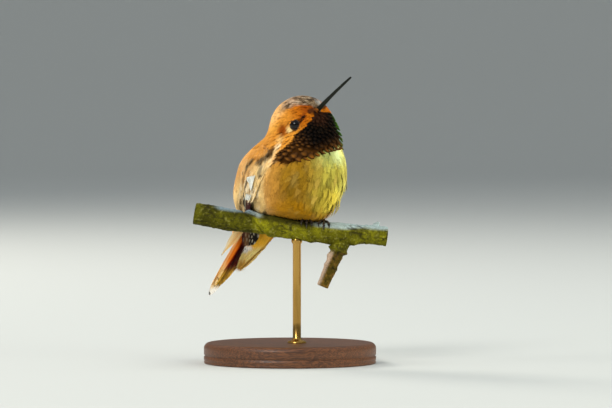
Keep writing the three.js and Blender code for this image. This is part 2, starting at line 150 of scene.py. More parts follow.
BODY_BALLS = (
    (trunk.out([0.6, 0, -0.2]), axes_of(38, 55), (15.2, 13.4, 14.6)),
    (trunk.out([4.4, 0, 3.2]), axes_of(38, 60), (12.4, 12.2, 12.4)),
    (trunk.out([-8.8, 0, -3.2]), axes_of(38, 60), (11.4, 9.8, 9.6)),
    (trunk.out([-5.2, 0, 1.8]), trunk.axes, (10.9, 11.4, 8.4)),
    (trunk.out([1, 0, 9.4]), trunk.axes, (7.4, 7.8, 6.6)),
    (head.origin, head.axes, (10, 8.7, 9.6)),
    (head.out([2.2, 0, -5.8]), head.axes, (5.6, 7.4, 6.2)),
    (tail.out([2, 0, -0.6]), tail.axes, (8.5, 4.2, 4.4)),
)
MELTING = 2.4
LAP_POINT = np.array([0.6, PERCH_ACROSS - 1.2, PERCH_TOP + 1.4])
LAP_NORMAL = unit(np.array([0.14, 0.4, 1.0]))
LAP_SOFTNESS = 1.6
HEART = trunk.out([1.4, 0, 6.8])
BILL_DENT = head.out([10, 0.6, 0.6])


def soft_least(a, b, width):
    """The lesser of a and b, rounded off where they are nearly equal."""
    share = np.clip(0.5 + 0.5 * (b - a) / width, 0, 1)
    return b + (a - b) * share - width * share * (1 - share)


def ball_field(ball, points):
    centre, axes, radii = ball
    scaled = ((points - centre) @ axes.T) / radii
    reach = np.linalg.norm(scaled, axis=-1)
    slope = np.linalg.norm(scaled / radii, axis=-1)
    return reach * (reach - 1) / np.maximum(slope, 1e-6)


def bill_dent(points):
    """How far the coat sinks where it meets the bill."""
    return 0.9 * smoothstep(3.4, 0.9, np.linalg.norm(points - BILL_DENT, axis=-1))


def body_field(points):
    """Near the distance from the coat's outer surface: below zero inside it."""
    value = ball_field(BODY_BALLS[0], points)
    for ball in BODY_BALLS[1:]:
        value = soft_least(value, ball_field(ball, points), MELTING)
    return -soft_least(-value, (points - LAP_POINT) @ LAP_NORMAL, LAP_SOFTNESS) + bill_dent(points)


def body_normal(points):
    step = 0.05
    slopes = [body_field(points + step * axis) - body_field(points - step * axis) for axis in np.eye(3)]
    return unit(np.stack(slopes, axis=-1))


def surface_along(directions, level, outside=40.0, steps=70):
    """The outermost points at that level on rays from the heart."""
    reach = np.full(len(directions), outside)
    for _ in range(steps):
        reach -= 0.7 * (body_field(HEART + directions * reach[:, None]) - level)
    return HEART + directions * reach[:, None]


def afloat(points, level):
    """The points, with those that lie lower than the level lifted out to it."""
    short = np.maximum(level - body_field(points), 0)
    return points + body_normal(points) * short[..., None]


def laid(points, level, steps=12):
    """The points, each moved straight out or in until it is at the level."""
    points = np.array(points, float)
    for _ in range(steps):
        points += body_normal(points) * (0.8 * (level - body_field(points)))[..., None]
    return points


# ---- Small tools ----


def smoothstep(low, high, x):
    x = np.clip((x - low) / (high - low), 0, 1)
    return x * x * (3 - 2 * x)


def level_at(levels, s):
    """Value at s of a line drawn smoothly through evenly spaced levels."""
    levels = np.asarray(levels, float)
    reach = np.clip(np.asarray(s, float), 0, 1) * (len(levels) - 1)
    i = np.minimum(reach.astype(int), len(levels) - 2)
    return levels[i] + (levels[i + 1] - levels[i]) * smoothstep(0, 1, reach - i)


HASH_FACTORS = (374761393, 668265263, 2147483647, 1274126177)
HASH_MASK = 0xFFFFFF


def lattice_value(cells, seed):
    """A fixed random number from 0 to 1 for each cell of a lattice."""
    x, y, z, stir = HASH_FACTORS
    h = cells[..., 0] * x + cells[..., 1] * y + cells[..., 2] * z + seed * stir
    h = (h ^ (h >> 13)) * stir
    h = h ^ (h >> 16)
    return (h & HASH_MASK) / float(HASH_MASK)


def noise(points, size, seed):
    """Smooth noise from 0 to 1 with lumps of about that size."""
    p = np.asarray(points, float) / size
    base = np.floor(p).astype(np.int64)
    part = smoothstep(0, 1, p - base)
    total = 0
    for corner in np.ndindex(2, 2, 2):
        weight = np.prod(np.where(np.array(corner) == 1, part, 1 - part), axis=-1)
        total = total + weight * lattice_value(base + np.array(corner), seed)
    return total


def layered_noise(points, size, seed, layers=3):
    """Noise with finer and fainter noise on it."""
    total, weight, reach = 0, 1.0, 0
    for layer in range(layers):
        total = total + weight * noise(points, size / 2**layer, seed + 17 * layer)
        reach += weight
        weight *= 0.55
    return total / reach


class Path:
    """A smooth line through points, measured along its length from 0 to 1."""

    def __init__(self, points, fine=400):
        p = [np.asarray(q, float) for q in points]
        p = [2 * p[0] - p[1]] + p + [2 * p[-1] - p[-2]]
        line = []
        spans = len(p) - 3
        for k in range(spans):
            a, b, c, d = p[k : k + 4]
            steps = [max(np.linalg.norm(q - r) ** 0.5, 1e-6) for q, r in ((b, a), (c, b), (d, c))]
            into = ((b - a) / steps[0] - (c - a) / (steps[0] + steps[1]) + (c - b) / steps[1]) * steps[1]
            outof = ((c - b) / steps[1] - (d - b) / (steps[1] + steps[2]) + (d - c) / steps[2]) * steps[1]
            t = np.linspace(0, 1, fine // spans, endpoint=k == spans - 1)[:, None]
            line.append(
                b + into * t + (3 * (c - b) - 2 * into - outof) * t**2 + (2 * (b - c) + into + outof) * t**3
            )
        self.line = np.concatenate(line)
        self.run = np.concatenate([[0], np.cumsum(np.linalg.norm(np.diff(self.line, axis=0), axis=1))])
        self.length = self.run[-1]

    def at(self, s):
        reach = np.clip(s, 0, 1) * self.length
        return np.stack([np.interp(reach, self.run, self.line[:, k]) for k in range(3)], axis=-1)

    def along(self, s):
        s = np.asarray(s)
        return unit(self.at(np.minimum(s + 0.01, 1)) - self.at(np.maximum(s - 0.01, 0)))


def srgb(*values):
    """A colour from 0 to 255 as linear light."""
    c = np.array(values, float) / 255
    return np.where(c <= 0.04045, c / 12.92, ((c + 0.055) / 1.055) ** 2.4)


def mix(a, b, weight):
    weight = np.asarray(weight)[..., None]
    return a * (1 - weight) + b * weight


def bell(x, width):
    """1 at x = 0 and near 0 from twice the width on."""
    return np.exp(-((x / width) ** 2))


def around(count):
    """Angles evenly spaced over a full turn."""
    return np.linspace(0, 2 * np.pi, count, endpoint=False)


def steady(direction):
    """A function of places along a path that gives one direction everywhere."""
    return lambda s: np.broadcast_to(direction, (len(s), 3))


def sphere_rings(heights, turns):
    """Rings of points on a unit sphere from its top down, without its poles."""
    v, u = np.linspace(0, np.pi, heights + 1)[1:-1, None], around(turns)
    return np.stack([np.sin(v) * np.cos(u), np.sin(v) * np.sin(u), np.cos(v) * np.ones(turns)], -1)


# ---- Making meshes ----


def mesh_object(name, verts, tris, material, tint=None, vane=None, uv=None, normals=None):
    """A smooth shaded mesh of triangles, with what is given of tint, vane, uv and normals per vertex."""
    mesh = bpy.data.meshes.new(name)
    verts = np.ascontiguousarray(verts, dtype=np.float32) * MM
    tris = np.ascontiguousarray(tris, dtype=np.int32)
    mesh.vertices.add(len(verts))
    mesh.vertices.foreach_set("co", verts.ravel())
    mesh.loops.add(tris.size)
    mesh.loops.foreach_set("vertex_index", tris.ravel())
    mesh.polygons.add(len(tris))
    mesh.polygons.foreach_set("loop_start", np.arange(len(tris), dtype=np.int32) * 3)
    mesh.update(calc_edges=True)
    mesh.polygons.foreach_set("use_smooth", np.ones(len(tris), bool))
    if uv is not None:
        layer = mesh.uv_layers.new(name="OFBake")
        layer.data.foreach_set("uv", np.asarray(uv, np.float32)[tris].ravel())
    if tint is not None:
        layer = mesh.color_attributes.new("tint", "FLOAT_COLOR", "POINT")
        rgba = np.ones((len(verts), 4), np.float32)
        rgba[:, :3] = np.clip(tint, 0, 1)
        layer.data.foreach_set("color", rgba.ravel())
    if vane is not None:
        layer = mesh.attributes.new("vane", "FLOAT_VECTOR", "POINT")
        layer.data.foreach_set("vector", np.asarray(vane, np.float32).ravel())
    if normals is not None:
        mesh.normals_split_custom_set_from_vertices(normals.astype(np.float32))
    mesh.materials.append(material)
    obj = bpy.data.objects.new(name, mesh)
    bpy.context.scene.collection.objects.link(obj)
    return obj


def wear(obj, slot, *nodes):
    """Puts a finished piece on the model's body, in place of those solids."""
    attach(obj, ROOT)
    if nodes:
        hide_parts(*nodes)


def tube(rings, closed_ends=True):
    """Vertices and triangles of a tube through rings, an array of ring by point."""
    count, sides = rings.shape[:2]
    verts = rings.reshape(-1, 3)
    i, j = np.meshgrid(np.arange(count - 1), np.arange(sides), indexing="ij")
    a = i * sides + j
    b = i * sides + (j + 1) % sides
    c, d = b + sides, a + sides
    tris = np.concatenate([np.stack([a, b, c], -1).reshape(-1, 3), np.stack([a, c, d], -1).reshape(-1, 3)])
    if closed_ends:
        first, last = len(verts), len(verts) + 1
        verts = np.concatenate([verts, rings[0].mean(0)[None], rings[-1].mean(0)[None]])
        k = np.arange(sides)
        start = np.stack([np.full(sides, first), (k + 1) % sides, k], -1)
        end_base = (count - 1) * sides
        end = np.stack([np.full(sides, last), end_base + k, end_base + (k + 1) % sides], -1)
        tris = np.concatenate([tris, start, end])
    return verts, tris


def swept(path, outward, widths, depths, sides, steps, shape=None):
    """Rings of an elliptical section along a path, with half widths and depths as levels along it.

    shape(s, angle) scales the section. Also gives the rings' places along the path and the points' angles.
    """
    s = np.linspace(0, 1, steps + 1)
    along = path.along(s)
    across = unit(np.cross(along, outward(s)))
    out = np.cross(across, along)
    angle = around(sides)
    w = level_at(widths, s)[:, None] * np.cos(angle)
    d = level_at(depths, s)[:, None] * np.sin(angle)
    if shape is not None:
        scale = shape(s[:, None], angle[None])
        w, d = w * scale, d * scale
    rings = path.at(s)[:, None] + across[:, None] * w[..., None] + out[:, None] * d[..., None]
    return rings, s, angle


def merged(parts):
    """One list of vertices and one of triangles from several."""
    verts, tris, start = [], [], 0
    for v, t in parts:
        verts.append(v)
        tris.append(t + start)
        start += len(v)
    return np.concatenate(verts), np.concatenate(tris)


# ---- Materials ----


class Surface:
    """A procedural material. A node's input is given as a value, or as the socket that feeds it."""

    def __init__(self, name):
        self.material = bpy.data.materials.new(name)
        self.material.use_nodes = True
        self.tree = self.material.node_tree

    def feed(self, node, inputs):
        for key, value in inputs.items():
            if isinstance(value, bpy.types.NodeSocket):
                self.tree.links.new(value, node.inputs[key])
            else:
                node.inputs[key].default_value = value

    def node(self, kind, inputs, **settings):
        made = self.tree.nodes.new("ShaderNode" + kind)
        for key, value in settings.items():
            setattr(made, key, value)
        self.feed(made, inputs)
        return made

    def attribute(self, name, output="Color"):
        return self.node("Attribute", {}, attribute_name=name).outputs[output]

    def noise(self, scale, detail, stretch=(1, 1, 1), roughness=0.6):
        """Noise over the object's coordinates in metres, with each axis times its stretch."""
        where = self.node("TexCoord", {}).outputs["Object"]
        place = self.node("Mapping", {"Vector": where, "Scale": stretch}).outputs["Vector"]
        inputs = {"Vector": place, "Scale": scale, "Detail": detail, "Roughness": roughness}
        return self.node("TexNoise", inputs).outputs["Fac"]

    def ramp(self, value, low, dark, high, light):
        """From the dark colour at low to the light one at high."""
        made = self.node("ValToRGB", {"Fac": value})
        for element, place, colour in zip(made.color_ramp.elements, (low, high), (dark, light)):
            element.position = place
            element.color = (*colour, 1)
        return made.outputs["Color"]

    def bump(self, height, strength, distance, **under):
        inputs = {"Height": height, "Strength": strength, "Distance": distance, **under}
        return self.node("Bump", inputs).outputs["Normal"]

    def product(self, colour, *others):
        for other in others:
            inputs = {"Factor": 1.0, 6: colour, 7: other}
            colour = self.node("Mix", inputs, data_type="RGBA", blend_type="MULTIPLY").outputs[2]
        return colour

    def math(self, operation, *values):
        return self.node("Math", dict(enumerate(values)), operation=operation).outputs[0]

    def finish(self, specular=0.5, **inputs):
        """Feeds the shader, whose Base Color is given as base_color and so on, and returns the material."""
        named = {key.replace("_", " ").title(): value for key, value in inputs.items()}
        self.feed(self.tree.nodes["Principled BSDF"], {"Specular IOR Level": specular, **named})
        return self.material


def feather_material(name, barbs, comb, roughness=0.75, sheen=0.03, specular=0.05):
    """Colour from the vane's tint, with fine barbs that slant from the shaft to the edge."""
    surface = Surface(name)
    along, across, chance = surface.node("SeparateXYZ", {0: surface.attribute("vane", "Vector")}).outputs
    slant = surface.math("MULTIPLY", surface.math("ABSOLUTE", across), 0.35)
    phase = surface.math("MULTIPLY", surface.math("SUBTRACT", along, slant), barbs)
    lines = surface.math("MULTIPLY_ADD", surface.math("SINE", phase), 0.5, 0.5)
    shade = surface.ramp(surface.noise(2600, 3), 0.25, (0.88, 0.87, 0.86), 0.75, (1.07,) * 3)
    combed = surface.ramp(lines, 0, (comb, comb * 0.98, comb * 0.95), 1, (1.05,) * 3)
    luck = surface.ramp(chance, 0, (0.9, 0.89, 0.87), 1, (1.08,) * 3)
    return surface.finish(
        base_color=surface.product(surface.attribute("tint"), shade, combed, luck),
        normal=surface.bump(lines, 0.5, 0.00003),
        roughness=roughness,
        specular=specular,
        sheen_weight=sheen,
        sheen_roughness=0.5,
    )


def tinted_material(name, scale, dark, light, strength, depth, roughness, specular=0.5):
    """The mesh's own tint, mottled and roughened by one noise."""
    surface = Surface(name)
    value = surface.noise(scale, 5)
    return surface.finish(
        base_color=surface.product(surface.attribute("tint"), surface.ramp(value, 0.3, dark, 0.7, light)),
        normal=surface.bump(value, strength, depth),
        roughness=roughness,
        specular=specular,
    )


def plain_material(name, dark, light, scale, roughness, depth, stretch=(1, 1, 1), **others):
    """A mottled surface: colour, gloss and bump from one noise, stretched along one way if asked."""
    surface = Surface(name)
    value = surface.noise(scale, 6, stretch)
    return surface.finish(
        base_color=surface.ramp(value, 0.3, dark, 0.7, light),
        normal=surface.bump(value, 0.5, depth),
        roughness=surface.ramp(value, 0.3, (roughness * 0.8,) * 3, 0.7, (roughness * 1.2,) * 3),
        **others,
    )


def bark_material():
    surface = Surface("bark")
    grain, specks = surface.noise(1900, 8, (0.6, 1, 1), 0.7), surface.noise(4200, 3)
    shade = surface.ramp(grain, 0.3, (0.62, 0.6, 0.56), 0.7, (1.2,) * 3)
    speckled = surface.ramp(specks, 0.38, (0.72, 0.7, 0.66), 0.6, (1.1,) * 3)
    return surface.finish(
        base_color=surface.product(surface.attribute("tint"), shade, speckled),
        normal=surface.bump(specks, 0.4, 0.0001, Normal=surface.bump(grain, 0.7, 0.00025)),
        roughness=0.85,
        specular=0.15,
    )


def wood_material():
    """Turned, stained wood with grain that runs across the base."""
    surface = Surface("stand_wood")
    rings = surface.math("SINE", surface.math("MULTIPLY", surface.noise(60, 5, (1, 7, 7)), 60.0))
    grain = surface.math("ADD", surface.math("MULTIPLY", rings, 0.22), surface.noise(60, 4, (6, 60, 60)))
    colour = surface.ramp(grain, 0.25, srgb(58, 34, 20), 0.8, srgb(104, 64, 36))
    normal = surface.bump(grain, 0.15, 0.00005)
    return surface.finish(base_color=colour, normal=normal, roughness=0.5, coat_weight=0.08)


def eye_material():
    surface = Surface("eye")
    colour = surface.ramp(surface.noise(900, 2), 0.3, srgb(3, 2, 2), 0.8, srgb(9, 6, 5))
    return surface.finish(base_color=colour, roughness=0.05, specular=0.3)


# ---- Markings: one function colours skin and coat alike ----

# Where the gorget begins and ends on the head: places to the right, and heights there, in millimetres.
GORGET_TOP = (
    (-13.8, -12.1, -9.2, -8.1, -5.2, -4, -2.4, -1, 0, 2.5, 4.2, 5.2, 8.1, 9.2, 12.1, 13.8),
    (-3.4, -2.4, -2.6, -2.0, -2.5, -2.4, -1.5, -0.9, -0.1, 0.8, -0.6, -1.3, -1.3, -2.6, -2.4, -3.4),
)
GORGET_FOOT = ((0, 4.3, 7.4, 10.6, 12.9, 13.5, 13.9), (-11.8, -11.5, -10.9, -10.2, -8.1, -6.7, -3.8))
GORGET_REACH = 13.9


def above_foot(r, u):
    """How high a place on the head lies over the gorget's lower edge."""
    return u - np.interp(np.abs(r), *GORGET_FOOT)


def gorget_depth(points):
    """Millimetres inside the gorget's edge, and below zero outside it."""
    a, r, u = head.into(points).T
    ragged = 0.35 * (noise(points, 1.1, 5) - 0.5)
    inside = np.minimum(np.interp(r, *GORGET_TOP) - u, above_foot(r, u))
    return np.minimum(np.minimum(inside, a + 4.6), GORGET_REACH - np.abs(r)) + ragged


def near_line(points, a, b):
    """Distance of points from the line between a and b."""
    a, b = np.asarray(a, float), np.asarray(b, float)
    part = np.clip((points - a) @ (b - a) / np.sum((b - a) ** 2), 0, 1)
    return np.linalg.norm(points - a - part[..., None] * (b - a), axis=-1)


def gorget_tint(points):
    """Near black and bronze at the rear edge, with a painted green sheen where it turns away on the far side.
    """
    r, u = head.into(points)[:, 1:].T
    fleck = noise(points, 0.9, 9)
    dark = mix(srgb(3, 2, 2), srgb(14, 10, 6), smoothstep(0.35, 0.8, fleck))
    rear = smoothstep(4.5, 0.8, above_foot(r, u)) + smoothstep(6.5, 10.5, np.abs(r))
    dark = mix(dark, srgb(74, 44, 12), 0.8 * np.clip(rear, 0, 1))
    chin = smoothstep(4.2, 1.2, np.linalg.norm(head.into(points) - [9.5, 2.4, -0.6], axis=-1))
    dark = mix(dark, srgb(66, 36, 20), 0.5 * chin)
    # Painted sheen: green where the gorget turns away on the far side.
    green = smoothstep(-1.8, -5.0, r) * smoothstep(3.5, -3, u) * (0.55 + 0.45 * noise(points, 1.6, 10))
    return mix(dark, srgb(58, 104, 10), 0.95 * green)


def painted(colour, *layers):
    """The colour with layers over it, each a tone and its share from 0 to 1."""
    for tone, share in layers:
        colour = mix(colour, tone, share)
    return colour


def body_tint(points, ahead, side, high):
    """Lime cream under the gorget, gold down the front, ochre on the flanks, and peach by wings and back;
    painted shade darkens the cream on the right under the gorget, and painted light brightens the breast's
    left side.
    """
    patch = layered_noise(points, 2.8, 3)
    near = np.abs(side)
    wobble = 2.4 * (layered_noise(points, 3.6, 12) - 0.5)
    front = smoothstep(9.5, 15.5, ahead + 1.5 * wobble) * smoothstep(11.5, 1.5, near + 1.5 * wobble)
    cream = smoothstep(2.5, 6.5, high + wobble) * smoothstep(9.5, 4.5, near) * smoothstep(8, 12, ahead)
    # Painted light over the breast's left side.
    painted_glow = smoothstep(0, -5, side) * smoothstep(7, 10, ahead) * smoothstep(-11, -4, high)
    rufous = smoothstep(0.5, 0.75, layered_noise(points, 2.6, 18)) * smoothstep(-6, -9, ahead)
    beside = smoothstep(3.2, 1.2, near_line(np.stack([ahead, high], -1), (-1.5, 3.0), (-2.6, -7.0)))
    olive = smoothstep(0.48, 0.74, layered_noise(points, 3.4, 8))
    light = smoothstep(0.55, 0.8, layered_noise(points * [1, 1, 0.5], 2.2, 14, 2))
    fleck = smoothstep(0.54, 0.68, layered_noise(points * [1, 1, 0.6], 1.2, 31, 2))
    colour = painted(
        srgb(194, 140, 58),
        (srgb(146, 107, 19), smoothstep(3.0, 8.5, ahead)),
        (srgb(194, 184, 76), front),
        # The cream is darker on the right as painted shade under the gorget and paler on the left as painted
        # light.
        (mix(srgb(150, 160, 92), srgb(212, 230, 170), smoothstep(3, -2, side)), 0.9 * cream),
        # Painted light on the breast's left side.
        (srgb(242, 236, 122), 0.65 * painted_glow),
        (srgb(242, 214, 72), 0.8 * smoothstep(-1, -6, high) * front),
        (srgb(208, 146, 4), 0.75 * smoothstep(-4.5, -8.5, high) * smoothstep(13, 9, ahead)),
        (srgb(210, 160, 92), smoothstep(4.0, -1.0, ahead) * smoothstep(7, 11, near)),
        (mix(srgb(214, 164, 100), srgb(255, 218, 150), smoothstep(1, -5, high)), smoothstep(-1, -7, ahead)),
        (srgb(230, 156, 76), 0.6 * rufous),
        (srgb(246, 210, 138), 0.9 * beside * smoothstep(8.5, 10, near)),
        (srgb(128, 106, 24), 0.6 * olive * smoothstep(5, 9, ahead) * (1 - 0.6 * cream)),
        (srgb(228, 190, 98), 0.35 * light * smoothstep(4, 9, ahead)),
    )
    fleck = fleck * smoothstep(2, 7, ahead) * smoothstep(-9, -4, high)
    colour = mix(colour, colour * 0.6, 0.75 * fleck)
    return mix(colour, colour * 0.74, smoothstep(0.45, 0.75, patch) * 0.5)


WING_WAY = trunk.turn([-0.45, 0, -0.89])
# The boldest marks over a folded wing, as ends (ahead, up) from the trunk's centre, a radius and a colour.
WING_STROKES = (
    ((1.6, 7.3), (-1.6, 5.0), 1.0, srgb(60, 36, 6)),
    ((2.4, 9.0), (1.4, 8.4), 0.5, srgb(84, 48, 10)),
    ((-4.2, 5.6), (-5.8, 4.0), 0.6, srgb(22, 10, 2)),
    ((-6.0, 3.6), (-7.0, 1.9), 0.5, srgb(44, 32, 14)),
    ((-7.6, 0.4), (-8.0, -0.6), 0.6, srgb(132, 92, 38)),
    ((-0.5, 3.8), (-1.2, 1.4), 0.6, srgb(136, 122, 92)),
    ((-0.4, 1.0), (-1.2, 1.0), 0.34, srgb(48, 28, 8)),
    ((-5.9, -0.6), (-7.4, -3.2), 0.42, srgb(36, 30, 14)),
    ((-4.7, -2.7), (-4.6, -3.4), 0.5, srgb(60, 56, 38)),
    ((-9.3, -5.0), (-9.6, -5.8), 0.42, srgb(44, 24, 8)),
    ((-6.8, -7.4), (-7.0, -9.0), 0.6, srgb(34, 20, 6)),
)


def wing_marks(points, colour, ahead, high):
    """Dark and pale strokes among the peach feathers over a folded wing, blacker and whiter lower down."""
    beside = by_wing(points) * smoothstep(0.4, -1.2, head.into(points)[:, 2])
    flank = smoothstep(6.5, 7.5, np.abs(trunk.into(points)[:, 1]))
    strokes = layered_noise(points - 0.7 * (points @ WING_WAY)[..., None] * WING_WAY, 0.9, 77, 2)
    low = smoothstep(2.0, -5.0, high)
    dark = mix(srgb(128, 90, 42), srgb(54, 46, 30), low)
    pale = mix(srgb(238, 206, 156), srgb(236, 226, 200), low)
    behind = ahead - np.interp(high, (-11.4, -4.6, 2.4, 8.2), (-10, -7, -4, -0.6))
    low_base = mix(srgb(206, 164, 108), srgb(184, 158, 112), low)
    base = mix(low_base, srgb(255, 220, 154), smoothstep(1.0, 2.4, behind))
    share = (0.55 + 0.4 * low) * (1 - 0.8 * smoothstep(1.0, 2.4, behind))
    colour = painted(
        colour,
        (base, 0.6 * beside),
        (pale, 0.7 * beside * smoothstep(0.46, 0.34, strokes)),
        (dark, share * beside * smoothstep(0.54, 0.62, strokes + 0.04 * low)),
    )
    wobble = 0.3 * (noise(points, 0.7, 78) - 0.5)
    for start, end, radius, shade in WING_STROKES:
        away = near_line(np.stack([ahead, high], -1), start, end) + wobble
        colour = mix(colour, shade, 0.95 * flank * smoothstep(radius + 0.22, radius - 0.22, away))
    return colour


def face_tint(points, a, r, u):
    """Orange face, peach nape and a grey brown crown of small scales, with a dark line from eye to bill."""
    near = np.abs(r)
    place = np.stack([a, near, u], -1)
    patch = layered_noise(points, 2.6, 3)
    streak = noise(points - 0.5 * (points @ head.axes[0])[:, None] * head.axes[0], 0.75, 9)
    cap_base = mix(srgb(196, 164, 134), srgb(132, 112, 84), smoothstep(5.0, 8.0, a))
    scaly = mix(cap_base, srgb(44, 36, 22), 0.95 * smoothstep(0.46, 0.62, streak))
    scaly = mix(scaly, srgb(206, 186, 160), 0.7 * smoothstep(0.4, 0.25, streak))
    glint = smoothstep(1.9, 0.7, np.linalg.norm(head.into(points) - [9.3, -1.7, 2.6], axis=-1))
    face = painted(
        srgb(220, 146, 50),
        (srgb(188, 104, 14), smoothstep(2.5, 6.5, a)),
        (srgb(138, 58, 4), 0.85 * smoothstep(6.2, 8.2, a) * smoothstep(0.8, 2.0, u)),
        (srgb(230, 166, 68), smoothstep(1.0, -3.0, a) * smoothstep(2.5, 5.5, u)),
        (srgb(236, 186, 122), 0.8 * smoothstep(4.5, 7.5, u) * smoothstep(4.5, 1.5, a)),
        (srgb(206, 142, 62), 0.7 * smoothstep(-3.0, -6.5, a)),
        (srgb(176, 104, 24), 0.5 * smoothstep(0.48, 0.75, patch) * smoothstep(6, 2, u)),
        (scaly, 0.92 * crown_share(points)),
        (srgb(186, 188, 186), 0.6 * glint),
    )

    def spot(colour, share, centre, radius, softness):
        away = np.linalg.norm(place - np.array(centre), axis=-1)
        return colour, share * smoothstep(radius + softness, radius - softness, away)

    lore = near_line(place, (5.2, 7.5, 0.7), (7.2, 6.0, 1.1))
    gape = near_line(place, (8.6, 4.0, 1.2), (9.9, 1.6, 0.8))
    return painted(
        face,
        spot(srgb(134, 60, 2), 0.95, (-0.1, 8.9, 2.2), 1.8, 0.9),
        spot(srgb(234, 186, 112), 0.8, (-2.0, 9.9, 0.4), 1.3, 0.7),
        spot(srgb(84, 46, 8), 0.9, (-4.8, 12.3, -0.4), 1.1, 0.5),
        spot(srgb(240, 212, 146), 0.95, (1.9, 8.5, 0.9), 0.85, 0.4),
        spot(srgb(250, 226, 190), 0.95, (-2.7, 11.7, -0.7), 0.85, 0.3),
        (srgb(128, 56, 12), 0.75 * smoothstep(1.2, 0.5, lore)),
        (srgb(26, 14, 8), 0.97 * smoothstep(0.6, 0.32, lore)),
        (srgb(60, 30, 14), 0.9 * smoothstep(1.4, 0.5, gape)),
    )


def head_share(points):
    """From 0 on the body to 1 where the head's colours and small feathers take over."""
    ahead, side, high = trunk.into(points).T
    collar = high + 0.1 * ahead + 0.34 * np.abs(side) - 0.6 * np.maximum(ahead - 7.5, 0)
    return smoothstep(8.2, 10.6, collar)


def plumage(points, gorget=True):
    """The coat's colour at each point, with the gorget or as if there were none."""
    shape = points.shape
    points = points.reshape(-1, 3)
    a, r, u = head.into(points).T
    ahead, side, high = trunk.into(points).T
    colour = mix(body_tint(points, ahead, side, high), face_tint(points, a, r, u), head_share(points))
    colour = wing_marks(points, colour, ahead, high)
    if gorget:
        colour = mix(colour, gorget_tint(points), smoothstep(-0.15, 0.2, gorget_depth(points)))
    return colour.reshape(shape)


# ---- The lie of the coat ----

CHIN = head.out([10.5, 0, 0])
TAIL_MIDDLE = tail.out([12, 0, 0])


def lie(points, normals):
    """The way feathers point: away from the bill on the head, towards the tail on the body."""
    back = unit(TAIL_MIDDLE - points) + np.array([0, 0, -0.45])
    high = trunk.into(points)[:, 2]
    share = smoothstep(4, 12, high)[:, None]
    way = unit(points - CHIN) * share + unit(back) * (1 - share)
    way = way + (noise(points, 3.2, 21) - 0.5)[:, None] * np.cross(normals, way) * 0.35
    return unit(way - normals * np.sum(way * normals, axis=1, keepdims=True))


def sphere_directions(count):
    """Directions spread evenly over a sphere."""
    k = np.arange(count) + 0.5
    z = 1 - 2 * k / count
    turn = k * math.pi * (3 - 5**0.5)
    level = np.sqrt(1 - z * z)
    return np.stack([level * np.cos(turn), level * np.sin(turn), z], -1)


def skin_depth(points):
    """How far the skin lies under the coat's surface."""
    on_head = smoothstep(8, 13, trunk.into(points)[:, 2])
    near_bill = smoothstep(4, 9.5, head.into(points)[:, 0])
    return 1.05 - 0.45 * on_head - 0.2 * on_head * near_bill


def scatter(spacing_of, wanted, seed, count=70000):
    """Roots on the skin, no two nearer than their spacing. wanted(points) says which this coat takes."""
    chance = np.random.default_rng(seed)
    directions = sphere_directions(count)
    directions = unit(directions + chance.normal(0, 0.004, directions.shape))
    points = surface_along(directions, -0.5)
    points = points[wanted(points)]
    points = points[chance.permutation(len(points))]
    spacing = spacing_of(points)
    cell = float(spacing.max())
    keys = np.floor(points / cell).astype(int)
    grid, kept = {}, []
    steps = [(i, j, k) for i in (-1, 0, 1) for j in (-1, 0, 1) for k in (-1, 0, 1)]
    for index, (x, y, z) in enumerate(keys.tolist()):
        near = [other for i, j, k in steps for other in grid.get((x + i, y + j, z + k), ())]
        if not near or np.sum((points[near] - points[index]) ** 2, axis=1).min() >= spacing[index] ** 2:
            grid.setdefault((x, y, z), []).append(index)
            kept.append(index)
    return points[kept]


def unwrap(points):
    """A place on the skin's own unwrap: the turn and height of the ray from the heart."""
    ray = unit(points - HEART)
    u = np.arctan2(ray[:, 1], ray[:, 0]) / (2 * np.pi) + 0.5
    v = np.arccos(np.clip(ray[:, 2], -1, 1)) / np.pi
    return np.stack([0.01 + 0.98 * u, 0.01 + 0.98 * v], -1)


# ---- Keeping feathers off other things ----

PERCH_LINE = (
    (-27.5, 0.4, 2.5),
    (-18, -0.3, 0.9),
    (-9, 0, -0.3),
    (0.6, 0.2, -2),
    (8.5, 0, -2.95),
    (16, -0.2, -3.6),
    (22, 0, -3.5),
    (28, 0.5, -4.1),
)
PERCH_WIDTHS = (3.05, 3.15, 3.05, 2.9, 2.85, 2.9, 3.5, 2.85, 2.75)
PERCH_DEPTHS = (3.1, 3.25, 3.0, 2.9, 2.85, 2.9, 3.4, 2.8, 2.75)
PERCH_RADIUS = 2.9
# How near the perch's middle a feather may come, and how near the bill's.
PERCH_ROOM = 2.85
BILL_ROOM = 0.6


def perch_line(points):
    """A path through points given from the top of the perch under the bird."""
    return Path([(x, PERCH_ACROSS + y, PERCH_TOP + z) for x, y, z in points])


perch_path = perch_line(PERCH_LINE)
eye_centres = {side: head.out(np.array(EYE_PLACE) * [1, sign, 1]) for side, sign in SIDES.items()}


def in_the_way(points):
    """True where a feather would enter an eye, the bill or the perch."""
    blocked = np.zeros(points.shape[:-1], bool)
    for centre in eye_centres.values():
        blocked |= np.linalg.norm(points - centre, axis=-1) < EYE_RADIUS + 0.02
    inside = points - bill_root
    ahead = inside @ head.axes[0]
    away = np.linalg.norm(inside - ahead[..., None] * head.axes[0], axis=-1)
    blocked |= (ahead > 0) & (away < BILL_ROOM)
    line = perch_path.line[::4]
    middle = line[np.argmin(np.abs(points[..., None, 0] - line[:, 0]), axis=-1)]
    blocked |= np.linalg.norm((points - middle)[..., 1:], axis=-1) < PERCH_ROOM
    return blocked


# ---- Vanes: thin closed feathers that lie on the body ----


class Coat:
    """Gathers closed vanes and barbs, and makes them into one mesh."""

    def __init__(self):
        self.parts = []

    def add(self, *part):
        self.parts.append(part)

    def make(self, name, material, slot, *nodes):
        verts, tris = merged([part[:2] for part in self.parts])
        tint, vane, uv, normals = (np.concatenate(every) for every in list(zip(*self.parts))[2:])
        wear(mesh_object(name, verts, tris, material, tint, vane, uv, normals), slot, *nodes)


